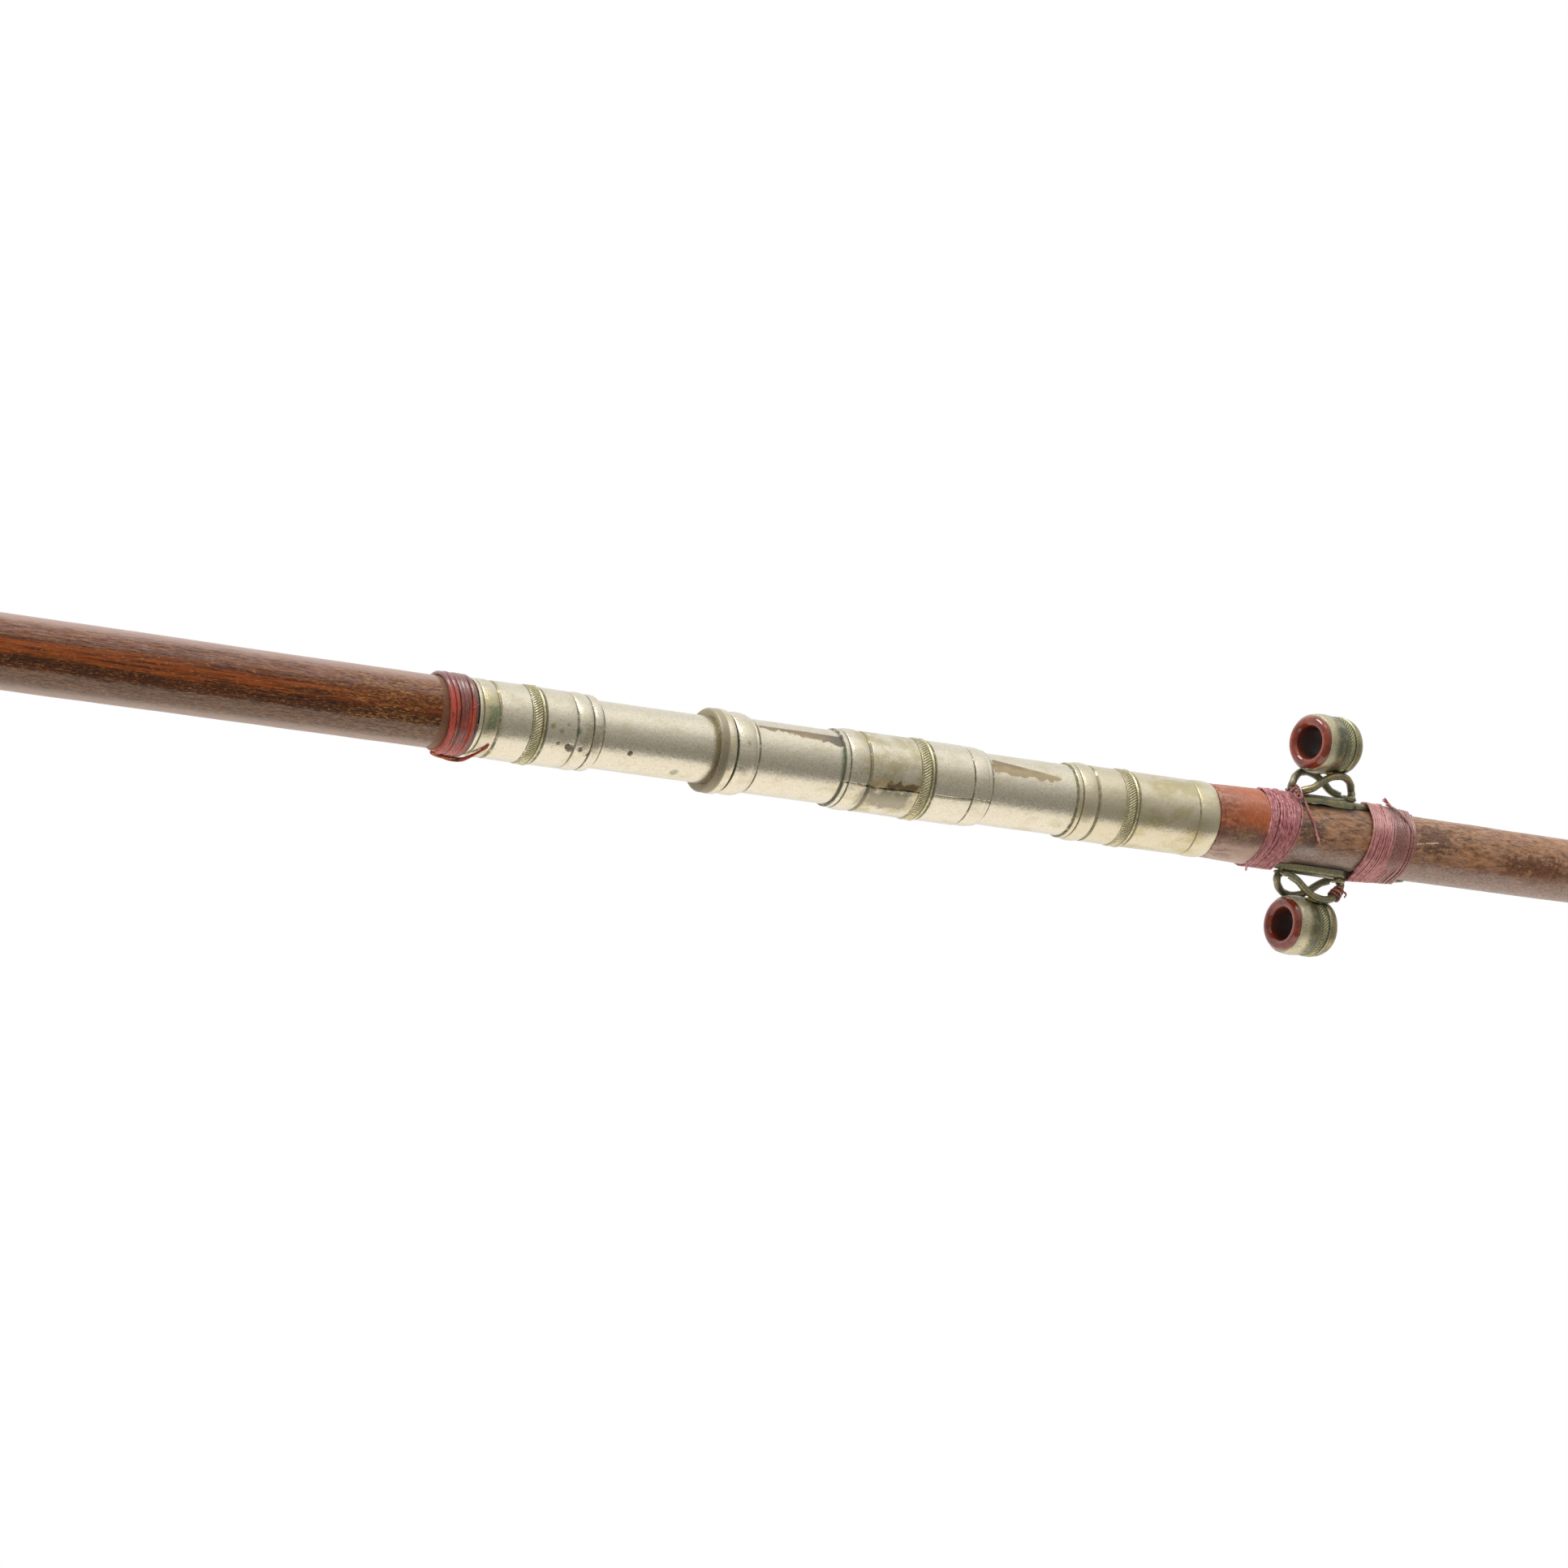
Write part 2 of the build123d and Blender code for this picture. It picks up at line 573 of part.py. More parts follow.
# ---- Whippings over the guides' feet -----------------------------------------------------------------
def wrapped_section(plane, crest):
    """Thread pulled tight over the cane and both feet: the hull of a circle and a tall narrow box."""
    with BuildSketch(plane) as section:
        with BuildLine():
            CenterArc((0, 0), WHIPPING_RADIUS, 0, 360)
            Polyline(
                (-WHIPPING_CREST_WIDTH / 2, -crest),
                (WHIPPING_CREST_WIDTH / 2, -crest),
                (WHIPPING_CREST_WIDTH / 2, crest),
                (-WHIPPING_CREST_WIDTH / 2, crest),
                close=True,
            )
        make_hull()
    return section.sketch


def guide_whipping(start, end, start_crest, end_crest):
    """One whipping, lofted between its two ends, less the cane, its hollow and the feet inside it."""
    start_section = wrapped_section(Plane.YZ.offset(start), start_crest)
    end_section = wrapped_section(Plane.YZ.offset(end), end_crest)
    with BuildPart() as whipping:
        loft([start_section, end_section], ruled=True)
        add(tip_cane.part, mode=Mode.SUBTRACT)
        add(tip_lumen.part, mode=Mode.SUBTRACT)
        for foot in feet.values():
            add(foot.part, mode=Mode.SUBTRACT)
        for name in feet:
            add(pieces[f"{name}_guide_bridge"].part, mode=Mode.SUBTRACT)
    return whipping


keep("guide_whipping_butt_side", guide_whipping(*NEAR_WHIPPING, NEAR_WHIPPING_CREST, NEAR_WHIPPING_CREST))
keep("guide_whipping_tip_side", guide_whipping(*FAR_WHIPPING, *FAR_WHIPPING_CREST))

print(len(pieces), "pieces written")
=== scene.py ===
"""Looks of a ferruled cane rod joint: meshes, materials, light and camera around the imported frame.

Shapes are worked out in millimetres and written to meshes in metres. X runs along the rod, and angles
round the rod are measured from its -Y side, positive upwards.
"""

import json
from functools import reduce
from math import cos, pi, radians, sin, sqrt
from operator import or_

import bpy
import numpy as np
from mathutils import Matrix, Vector


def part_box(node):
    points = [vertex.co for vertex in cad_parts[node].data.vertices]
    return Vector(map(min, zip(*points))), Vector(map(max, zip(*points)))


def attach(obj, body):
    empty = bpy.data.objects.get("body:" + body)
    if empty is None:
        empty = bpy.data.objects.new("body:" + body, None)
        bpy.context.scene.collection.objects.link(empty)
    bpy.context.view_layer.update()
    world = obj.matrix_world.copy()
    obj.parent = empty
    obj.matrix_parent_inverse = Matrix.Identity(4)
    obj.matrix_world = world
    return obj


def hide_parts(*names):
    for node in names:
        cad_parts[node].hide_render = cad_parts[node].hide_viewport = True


MM = 0.001
TUBE_SHARP = 50
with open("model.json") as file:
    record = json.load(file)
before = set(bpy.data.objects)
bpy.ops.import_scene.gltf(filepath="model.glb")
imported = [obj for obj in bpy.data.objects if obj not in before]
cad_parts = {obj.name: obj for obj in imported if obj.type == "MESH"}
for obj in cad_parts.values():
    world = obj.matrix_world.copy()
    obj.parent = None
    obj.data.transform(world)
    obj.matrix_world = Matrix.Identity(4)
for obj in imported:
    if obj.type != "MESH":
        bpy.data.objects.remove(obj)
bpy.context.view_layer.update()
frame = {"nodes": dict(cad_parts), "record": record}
mounts = {mount["name"]: mount for mount in frame["record"]["mounts"]}


def span(node):
    """First and last station of a CAD node, in mm."""
    low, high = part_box(node)
    return low.x / MM, high.x / MM


def radius_of(node):
    """Largest distance of a CAD node from the rod's axis, in mm, for a turned node."""
    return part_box(node)[1].z / MM


# ---- Mesh helpers --------------------------------------------------------------------------------
def make_object(name, points, faces, material, body, replaces=(), sharp=38, attributes=None):
    """A finished piece from points in mm, in its material's slot."""
    mesh = bpy.data.meshes.new(name)
    mesh.from_pydata([tuple(point) for point in np.asarray(points) * MM], [], faces)
    mesh.validate()
    mesh.shade_smooth()
    if sharp:
        mesh.set_sharp_from_angle(angle=radians(sharp))
    for key, values in (attributes or {}).items():
        layer = mesh.attributes.new(key, "FLOAT", "POINT")
        layer.data.foreach_set("value", np.asarray(values, np.float32))
    mesh.materials.append(material)
    piece = bpy.data.objects.new(name, mesh)
    bpy.context.scene.collection.objects.link(piece)
    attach(piece, body)
    if replaces:
        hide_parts(*replaces)
    return piece


def offsets(station, radius, *steps):
    """Profile points given as steps along and out from one station and one radius."""
    return [(station + along, radius + out) for along, out in steps]


def ring_faces(rows, columns, first=0):
    """Faces between neighbouring rings of points, from the first point's number on."""
    faces = []
    for row in range(rows - 1):
        this = first + row * columns
        after = this + columns
        for column in range(columns):
            beside = (column + 1) % columns
            faces.append((this + column, this + beside, after + beside, after + column))
    return faces


def capped_faces(rows, columns):
    """The faces of a closed tube: its wall and one flat cap at each end."""
    caps = [tuple(reversed(range(columns))), tuple(range((rows - 1) * columns, rows * columns))]
    return ring_faces(rows, columns) + caps


def densify(points, step):
    """Adds points along a profile's straight stretches."""
    dense = [points[0]]
    for start, end in zip(points, points[1:]):
        count = max(1, int(np.hypot(end[0] - start[0], end[1] - start[1]) / step))
        for index in range(1, count + 1):
            share = index / count
            dense.append((start[0] + (end[0] - start[0]) * share, start[1] + (end[1] - start[1]) * share))
    return dense


def crown(start, end, base, height, count=12):
    """Half an ellipse standing on a base radius."""
    middle = (start + end) / 2
    half = (end - start) / 2
    angles = [pi * index / count for index in range(count + 1)]
    return [(middle - half * cos(angle), base + height * sin(angle)) for angle in angles]


def ripple(station, angle, seed, waves, length, count=6):
    """Smooth unevenness of about unit size, whole round the rod."""
    draw = np.random.default_rng(seed)
    total = np.zeros_like(station)
    for _ in range(count):
        turns = draw.integers(0, waves + 1)
        total += np.sin(
            station * 2 * pi / (length * draw.uniform(0.7, 1.6)) + turns * angle + draw.uniform(0, 6.28)
        )
    return total / sqrt(count)


def turned(name, outer, bore, material, body, replaces=(), segments=192, shape=None, place=None, **more):
    """A closed ring of revolution: outer and bore profiles, both from low to high station."""
    profile = np.array(list(outer) + list(reversed(bore)), float)
    rows = len(profile)
    angles = np.arange(segments) * 2 * pi / segments
    station, angle = np.meshgrid(profile[:, 0], angles, indexing="ij")
    radius = np.repeat(profile[:, 1:2], segments, axis=1)
    extra = {}
    if shape:
        outside = np.zeros_like(radius)
        outside[: len(outer)] = 1
        radius, extra = shape(station, angle, radius, outside)
    points = np.stack([station, -radius * np.cos(angle), radius * np.sin(angle)], axis=-1).reshape(-1, 3)
    if place is not None:
        matrix = np.array(place)
        points = points @ matrix[:3, :3].T + matrix[:3, 3]
    faces = []
    for row in range(rows):
        this, after = row * segments, (row + 1) % rows * segments
        for column in range(segments):
            beside = (column + 1) % segments
            faces.append((this + column, after + column, after + beside, this + beside))
    extra = {key: values.reshape(-1) for key, values in extra.items()}
    return make_object(name, points, faces, material, body, replaces, attributes=extra, **more)


def tube(
    name, path, radius, material, body, replaces=(), sides=8, plies=0, ply_pitch=1.1, ends=1.0, relief=0.09,
):
    """A closed round tube along a path; with plies, its surface is twisted like thread."""
    path = np.asarray(path, float)
    steps = np.linalg.norm(np.diff(path, axis=0), axis=1)
    along = np.concatenate([[0], np.cumsum(steps)])
    tangent = np.gradient(path, axis=0)
    tangent /= np.linalg.norm(tangent, axis=1)[:, None]
    side = np.cross(tangent[0], (0.31, 0.52, 0.79))
    sides_done = []
    for direction in tangent:
        side = side - direction * np.dot(side, direction)
        side /= np.linalg.norm(side)
        sides_done.append(side)
    across = np.array(sides_done)
    upward = np.cross(tangent, across)
    turn = np.arange(sides) * 2 * pi / sides
    twist = (
        np.sin(plies * turn[None, :] + along[:, None] * 2 * pi / ply_pitch)
        if plies else np.zeros((len(path), sides))
    )
    thickness = np.broadcast_to(np.asarray(radius, float), (len(path),)).copy()
    thickness[0] *= ends
    thickness[-1] *= ends
    reach = thickness[:, None] * (1 + relief * twist)
    points = (
        path[:, None, :]
        + across[:, None, :] * (reach * np.cos(turn))[:, :, None]
        + upward[:, None, :] * (reach * np.sin(turn))[:, :, None]
    )
    return make_object(
        name, points.reshape(-1, 3), capped_faces(len(path), sides), material, body, replaces,
        sharp=None if plies else TUBE_SHARP,
        attributes={"ply": twist.reshape(-1)},
    )


def smooth_path(corners, count=12):
    """A smooth line through given corners."""
    corners = [np.array(corner, float) for corner in corners]
    padded = [2 * corners[0] - corners[1]] + corners + [2 * corners[-1] - corners[-2]]
    line = []
    for before, start, end, after in zip(padded, padded[1:], padded[2:], padded[3:]):
        for index in range(count):
            share = index / count
            line.append(
                0.5 * (
                    2 * start
                    + (end - before) * share
                    + (2 * before - 5 * start + 4 * end - after) * share**2
                    + (3 * start - before - 3 * end + after) * share**3
                )
            )
    line.append(corners[-1])
    return line


def blob(name, centre, size, material, body, seed):
    """A lump of solder or varnish: an uneven squashed ball."""
    rows, columns = 14, 22
    points = [(0, 0, -1)]
    for row in range(1, rows):
        height = -cos(pi * row / rows)
        around = sin(pi * row / rows)
        points += [
            (
                around * cos(2 * pi * c / columns), around * sin(2 * pi * c / columns), height,
            ) for c in range(columns)
        ]
    points.append((0, 0, 1))
    faces = [(0, 1 + (c + 1) % columns, 1 + c) for c in range(columns)]
    faces += ring_faces(rows - 1, columns, 1)
    last = len(points) - 1
    top = last - columns
    faces += [(last, top + c, top + (c + 1) % columns) for c in range(columns)]
    points = np.array(points)
    uneven = 1 + 0.07 * ripple(points[:, 2] * 2, np.arctan2(points[:, 1], points[:, 0]), seed, 3, 3)
    points = points * uneven[:, None] * np.array(size)
    return make_object(name, points + np.array(centre), faces, material, body, sharp=None)


# ---- Material helpers ----------------------------------------------------------------------------
def linear(code):
    """A colour written as #rrggbb, as the shader wants it."""
    parts = [int(code[index : index + 2], 16) / 255 for index in (1, 3, 5)]
    return (
        tuple(part / 12.92 if part <= 0.04045 else ((part + 0.055) / 1.055) ** 2.4 for part in parts) + (1,)
    )


def add_node(tree, kind, inputs=None, **settings):
    """A shader node, with its inputs linked to sockets or values, or set to plain numbers."""
    made = tree.nodes.new("ShaderNode" + kind)
    for key, value in settings.items():
        setattr(made, key, value)
    for key, value in (inputs or {}).items():
        plug(tree, value, made.inputs[key])
    return made


def plug(tree, value, socket):
    if isinstance(value, Value):
        value = value.socket
    if isinstance(value, bpy.types.NodeSocket):
        tree.links.new(value, socket)
    else:
        socket.default_value = value


def fill_ramp(node, stops):
    """Gives a colour ramp its stops: positions with finished colours."""
    elements = node.color_ramp.elements
    while len(elements) < len(stops):
        elements.new(0.5)
    for element, (position, colour) in zip(elements, stops):
        element.position = position
        element.color = colour


class Value:
    """A number or colour that varies over a surface. Arithmetic adds shader nodes; | takes the larger."""

    def __init__(self, look, socket):
        self.look = look
        self.socket = socket

    def __add__(self, other):
        return self.look.calc("ADD", self, other)

    def __radd__(self, other):
        return self.look.calc("ADD", other, self)

    def __sub__(self, other):
        return self.look.calc("SUBTRACT", self, other)

    def __rsub__(self, other):
        return self.look.calc("SUBTRACT", other, self)

    def __mul__(self, other):
        return self.look.calc("MULTIPLY", self, other)

    def __or__(self, other):
        return self.look.calc("MAXIMUM", self, other)

    def __abs__(self):
        return self.look.calc("ABSOLUTE", self)

    def step(self, low, high):
        """0 below low and 1 above high; the other way round when high is below low."""
        if high < low:
            return 1.0 - self.step(high, low)
        limits = {"Value": self, "From Min": low, "From Max": high}
        return self.look.value("MapRange", limits, interpolation_type="SMOOTHSTEP")

    def within(self, low, high, soft):
        """1 inside a range and 0 outside it."""
        return self.step(low - soft, low + soft) * self.step(high + soft, high - soft)

    def ramp(self, *stops):
        made = self.look.node("ValToRGB", {0: self})
        fill_ramp(made, [(position, linear(code)) for position, code in stops])
        return Value(self.look, made.outputs[0])


class Look:
    """One procedural material, with the rod's own coordinates in mm and a colour that stains build up."""

    def __init__(self, name, slot=None):
        self.material = bpy.data.materials.new(name)
        self.material.use_nodes = True
        self.tree = self.material.node_tree
        self.shader = self.tree.nodes["Principled BSDF"]
        place = self.value("TexCoord", output="Object")
        self.place = self.vector("MULTIPLY", place, (1 / MM, 1 / MM, 1 / MM))
        parts = self.node("SeparateXYZ", {0: self.place}).outputs
        self.station, self.depth, self.height = [Value(self, part) for part in parts]
        self.angle = self.calc("ARCTAN2", self.height, self.depth * -1) * (180 / pi)
        self.radius = self.calc("SQRT", self.depth * self.depth + self.height * self.height)

    def node(self, kind, inputs=None, **settings):
        return add_node(self.tree, kind, inputs, **settings)

    def value(self, kind, inputs=None, output=0, **settings):
        return Value(self, self.node(kind, inputs, **settings).outputs[output])

    def calc(self, operation, first, second=0.0):
        return self.value("Math", {0: first, 1: second}, operation=operation)

    def vector(self, operation, first, second):
        return self.value("VectorMath", {0: first, 1: second}, operation=operation)

    def attribute(self, name):
        return self.value("Attribute", attribute_name=name, output="Fac")

    def noise(self, scale, stretch=(1, 1, 1), detail=3.0, roughness=0.55, offset=0.0):
        place = self.vector("MULTIPLY", self.place, tuple(scale * part for part in stretch))
        if offset:
            place = self.vector("ADD", place, (offset, offset * 0.7, -offset))
        inputs = {"Vector": place, "Scale": 1.0, "Detail": detail, "Roughness": roughness}
        return self.value("TexNoise", inputs, output="Fac")

    def cells(self, scale, offset=0.0):
        place = self.vector("ADD", self.vector("MULTIPLY", self.place, (scale, scale, scale)), (offset, 0, 0))
        return self.value("TexVoronoi", {"Vector": place, "Scale": 1.0}, output="Distance")

    def mix(self, first, second, share):
        colours = [linear(value) if isinstance(value, str) else value for value in (first, second)]
        return self.value("Mix", {6: colours[0], 7: colours[1], 0: share}, output=2, data_type="RGBA")

    def blend(self, first, second, share):
        """A number between two others."""
        return self.value("Mix", {0: share, 2: first, 3: second}, data_type="FLOAT")

    def stain(self, colour, mask):
        """Lays a colour over what is there, as far as the mask says."""
        self.colour = self.mix(self.colour, colour, mask)

    def near(self, station, half, soft):
        """A band round the rod."""
        return abs(self.station - station).step(half + soft, half)

    def spot(self, station, angle, reach, radius=9.0, soft=0.35):
        """A small uneven round mark."""
        along = self.station - station
        around = (self.angle - angle) * (radius * pi / 180)
        away = self.calc("SQRT", along * along + around * around)
        away = away + self.noise(1.8, detail=4, offset=station) * 0.9
        return away.step(reach + 0.45 + soft, reach + 0.45 - soft)

    def patch(self, stations, angles, ragged=1.0, soft=0.6, grain=0.5):
        """A ragged patch of the surface, between two stations and two angles."""
        wander = (self.noise(grain, detail=5.0, offset=stations[0]) - 0.5) * (ragged * 4)
        along = (self.station + wander).within(*stations, soft)
        return along * (self.angle + wander * 7).within(*angles, 5 * soft)

    def finish(self, roughness, bump=None, bump_mm=0.05, **more):
        """Sends everything to the shader and hands over the material."""
        inputs = {"Base Color": self.colour, "Roughness": roughness}
        inputs.update({key.replace("_", " "): value for key, value in more.items()})
        for key, value in inputs.items():
            plug(self.tree, value, self.shader.inputs[key])
        if bump is not None:
            relief = self.value("Bump", {"Height": bump, "Distance": bump_mm * MM, "Strength": 1.0})
            plug(self.tree, relief, self.shader.inputs["Normal"])
        return self.material


# ---- Materials -----------------------------------------------------------------------------------
ROD_END = span("tip_cane")[1]
GUIDE_STATION = mounts["upper_line_ring"]["pos_m"][0] / MM
BARE_FROM = 165.5  # where the butt cane's varnish ends
SCRATCH_STATION = 432.9
SCRATCH_ANGLE = 13.4
SCRATCH_RISE = 1.1
SPOT_RADIUS = 7.94
# Marks on the silver: station, angle and reach.
BRASS_SPOTS = ((193.6, 4, 0.6), (196.0, -2, 0.5), (197.6, 9, 0.35), (244.6, 18, 0.5))
DARK_SPOTS = ((199.0, -26, 0.95), (201.7, -25, 0.6), (195.6, -19.5, 0.4), (204.2, -33, 0.5))


def sawn_bamboo(look, cut):
    """Bare bamboo where the cane is cut: pale, with the ends of darker fibre bundles."""
    bare = look.noise(1.3, detail=4, offset=61.0).ramp((0.35, "#a98656"), (0.65, "#c9aa78"))
    bundles = look.cells(1.7, 5.0).step(0.3, 0.14)
    look.stain(look.mix(bare, "#6f4f2c", bundles * 0.7), cut)


# Dark streaky varnish, orange on the near side, with painted pale reflections in streaks on the upper side,
# along the top and on the underside, and bare by the ferrule.
look = Look("butt_cane_varnish", "butt_cane")
streak = look.noise(1.9, (0.03, 1, 1), detail=7, roughness=0.7)
fine = look.noise(6.0, (0.045, 1, 1), detail=6, roughness=0.75, offset=3.1)
crumbs = look.noise(4.0, (0.2, 1, 1), detail=8, roughness=0.8, offset=1.7)
mottle = look.noise(0.3, (0.4, 1, 1), detail=5, roughness=0.65, offset=8.3)
wander = look.noise(0.8, (0.25, 1, 1), detail=7, roughness=0.72, offset=5.0) * 30 - 15
level = look.angle + wander
blend_in = look.station.step(125, 160) * 0.6
tone = look.blend(streak, crumbs, 0.25 + blend_in)
look.colour = tone.ramp((0.36, "#2c1204"), (0.46, "#5a2a0c"), (0.54, "#7c3f12"), (0.66, "#a86224"))
orange_band = level.within(-2, 22, 5)
orange_share = orange_band * streak.step(0.42, 0.56) * look.blend(0.75, 0.25, look.station.step(120, 150))
look.stain("#a34a0a", orange_share)
dark_band = level.within(-24, -5, 5)
look.stain("#321603", dark_band * crumbs.step(0.62, 0.46) * 0.75)
look.stain("#2a1005", fine.step(0.5, 0.4) * streak.step(0.62, 0.5) * 0.7)
# Painted reflection: mauve-grey streaks on the upper side stand for the pale surroundings reflected in the
# varnish.
upper = level.step(20, 36) * level.step(150, 125)
reflection_mauve = look.mix("#8a6f69", "#ab938a", fine)
look.stain(reflection_mauve, upper * fine.step(0.44, 0.58) * 0.62)
near_ferrule = look.station.step(118, 160) * 0.04
flakes = (crumbs + near_ferrule).step(0.54, 0.62) * mottle.step(0.32, 0.52)
gold = look.mix("#b07a38", "#d2a468", fine)
look.stain(gold, flakes * 0.65)
# Painted reflection: a pale band along the top.
painted_top_reflection = level.step(46, 66) * level.step(140, 110)
look.stain("#b3998e", painted_top_reflection * 0.6)
# Painted reflection of the pale floor on the underside: greyer, and palest at the bottom, with grain in it.
under = level.step(-20, -25) * level.step(-140, -115)
floor_reflection_colour = fine.ramp((0.36, "#5b4c43"), (0.5, "#83756c"), (0.64, "#a3948a"))
floor_reflection_colour = look.mix(floor_reflection_colour, "#b3905c", crumbs.step(0.52, 0.6) * 0.75)
floor_reflection_colour = look.mix(floor_reflection_colour, "#4d2e18", crumbs.step(0.46, 0.38) * 0.75)
floor_reflection_colour = look.mix(floor_reflection_colour, "#c7b1a6", look.angle.step(-48, -66) * 0.6)
floor_reflection_share = look.blend(0.55, 0.85, level.step(-34, -58))
look.stain(floor_reflection_colour, under * floor_reflection_share)
bare_zone = look.station.step(BARE_FROM - 0.3, BARE_FROM + 0.3)
bare_colour = look.mix("#5f3d2a", "#946e57", look.noise(3.0, detail=6, roughness=0.7, offset=2.7))
look.stain(bare_colour, bare_zone * 0.8)
dull = flakes * 0.9 | under * 0.7 | bare_zone
cut = look.station.step(0.4, 0.2)
sawn_bamboo(look, cut)
dull = dull | cut
butt_cane_look = look.finish(
    look.blend(0.42, 0.65, dull), fine + crumbs * 1.2, 0.05,
    Coat_Weight=look.blend(0.4, 0.08, dull), Coat_Roughness=0.18, Coat_IOR=1.45, Specular_IOR_Level=0.15,
)

# Paler wrinkled varnish, with residue and flecks by the whippings and one long scratch, painted light on the
# upper side and a painted reflection of the floor below.
look = Look("tip_cane_varnish", "tip_cane")
grainy = look.noise(1.0, (0.34, 1, 1), detail=9, roughness=0.76)
fine = look.noise(6.0, (0.12, 1, 1), detail=5, roughness=0.72, offset=3.1)
mottle = look.noise(0.34, (0.45, 1, 1), detail=6, roughness=0.68, offset=8.3)
look.colour = grainy.ramp((0.36, "#4a2e1e"), (0.45, "#7d5538"), (0.54, "#98694a"), (0.66, "#b98d6c"))
wrinkle = look.noise(3.4, (0.35, 1, 1), detail=8, roughness=0.82, offset=27.0)
look.stain("#46291a", wrinkle.step(0.47, 0.38) * 0.6)
look.stain("#c4a68c", wrinkle.step(0.54, 0.66) * 0.5)
grain_line = look.noise(7.0, (0.05, 1, 1), detail=4, roughness=0.7, offset=21.0)
look.stain("#4a2c18", grain_line.step(0.5, 0.64) * 0.5)
golden = mottle.step(0.5, 0.62) * look.angle.step(-34, -8)
look.stain("#a0652e", golden * 0.55)
lines = look.noise(5.0, (0.09, 1, 1), detail=7, roughness=0.75, offset=44.0)
look.stain("#d0ab82", lines.step(0.55, 0.64) * 0.6)
look.stain("#3d2215", lines.step(0.45, 0.37) * 0.55)
specks = fine.step(0.54, 0.68) * mottle.step(0.62, 0.4)
look.stain("#3a2213", specks * 0.6)
worn = look.noise(0.75, (0.4, 1, 1), detail=8, roughness=0.72, offset=1.7)
flakes = worn.step(0.55, 0.62)
look.stain("#4c2c1a", flakes * 0.65)
haze = look.noise(0.5, (0.5, 1, 1), detail=6, roughness=0.7, offset=12.0).step(0.5, 0.66)
look.stain("#95786a", haze * 0.4)
# Painted light: the upper side is lightened in its grain.
lit = look.angle.step(-26, 6)
look.stain("#d7a67e", lit * grainy.step(0.38, 0.6) * 0.35)
gloss_grain = look.noise(0.9, (0.4, 1, 1), detail=8, roughness=0.75, offset=41.0).step(0.64, 0.54)
gloss_patch = look.patch((455, 472), (-22, 14), 3.0, soft=1.0, grain=0.5) * gloss_grain
look.stain(look.mix("#3e1c06", "#8a4a14", wrinkle.step(0.42, 0.6)), gloss_patch * 0.9)
residue = look.patch((397.6, 403.2), (-50, 30), 4.5, soft=1.2, grain=0.7)
look.stain("#3a2318", residue * fine.step(0.3, 0.5) * 0.75)
behind_whipping = look.patch((430.5, 440), (4, 46), 3.0, soft=1.0, grain=0.7)
look.stain("#4a2a19", behind_whipping * fine.step(0.32, 0.5) * 0.7)
flecked = look.noise(1.5, (0.6, 1, 1), detail=7, roughness=0.75, offset=14.0).step(0.56, 0.66)
white_flecks = (residue | look.patch((428, 435.5), (-54, -6), 1.4, grain=0.6) | behind_whipping) * flecked
look.stain("#b39c93", white_flecks * 0.6)
# Painted reflection of the pale floor: mauve-grey over the lower side.
low_side = look.angle + (mottle - 0.5) * 60
floor_reflection_below = low_side.step(-14, -40) * low_side.step(-150, -120)
look.stain(wrinkle.ramp((0.38, "#6f5648"), (0.5, "#9a8276"), (0.62, "#bda99e")), floor_reflection_below * 0.75)
foot_shade = (
    look.near(GUIDE_STATION + 0.5, 7, 3) * abs(look.angle).step(50, 66) * abs(look.angle).step(130, 114)
)
look.stain("#2a1a10", foot_shade * 0.8)
wander = (look.noise(1.4, detail=3, offset=4.0) - 0.5) * 5
rise = (look.station - SCRATCH_STATION) * SCRATCH_RISE
away = abs(look.angle - SCRATCH_ANGLE - rise + wander)
broken = look.noise(1.1, detail=3, offset=23.0).step(0.36, 0.44)
scratch = look.near(SCRATCH_STATION, 3.4, 0.3) * away.step(1.5, 0.5) * broken
look.stain("#e0cdb0", scratch * 0.9)
cut = look.station.step(ROD_END - 0.4, ROD_END - 0.2)
sawn_bamboo(look, cut)
glossy = gloss_patch | residue
tip_cane_look = look.finish(
    look.blend(look.blend(0.5, 0.68, flakes), 0.2, glossy), fine + worn * 1.6, 0.05,
    Coat_Weight=look.blend(0.3, 0.9, glossy), Coat_Roughness=0.25, Coat_IOR=1.5, Specular_IOR_Level=0.35,
)

# Plugs and dowels inside the joint.
look = Look("bare_hardwood")
look.colour = look.noise(2.5, (0.08, 1, 1)).ramp((0.3, "#8a6740"), (0.7, "#b08a5b"))
hardwood_look = look.finish(0.75, look.noise(6, (0.1, 1, 1)), 0.03)

butt_low, butt_high = span("butt_sleeve")
middle_low, middle_high = span("middle_sleeve")
rear_low, rear_high = span("rear_sleeve")
collar_low, collar_high = span("mouth_collar")
welt_low, welt_high = span("mouth_welt")

# Old nickel silver: sandy grain, yellow-green tarnish, dirt in the grooves, and lacquer remains.
look = Look("nickel_silver")
cloud = look.noise(0.22, (0.7, 1, 1), detail=6, roughness=0.6)
speck = look.noise(2.6, detail=6, roughness=0.72, offset=6.1)
sand = look.noise(9.0, detail=3, roughness=0.7, offset=1.3)
brushed = look.noise(3.5, (1.0, 0.12, 0.12), detail=3, offset=2.2)
look.colour = speck.ramp((0.3, "#c4bca6"), (0.46, "#dad2be"), (0.66, "#e7e1cf"))
look.stain("#a59c85", sand.step(0.5, 0.68) * 0.5)
tarnish = cloud.step(0.5, 0.7) * speck.step(0.36, 0.58)
look.stain("#b9ad80", tarnish * 0.5)
pits = look.cells(0.75, 3.0).step(0.11, 0.05) * look.noise(0.3, detail=2, offset=9.0).step(0.54, 0.62)
look.stain("#6b624c", pits * 0.5)
mottled = look.noise(1.5, detail=8, roughness=0.8, offset=15.0)
look.stain("#a79a72", mottled.step(0.53, 0.64) * 0.42)
look.stain("#75694a", mottled.step(0.62, 0.72) * 0.5)
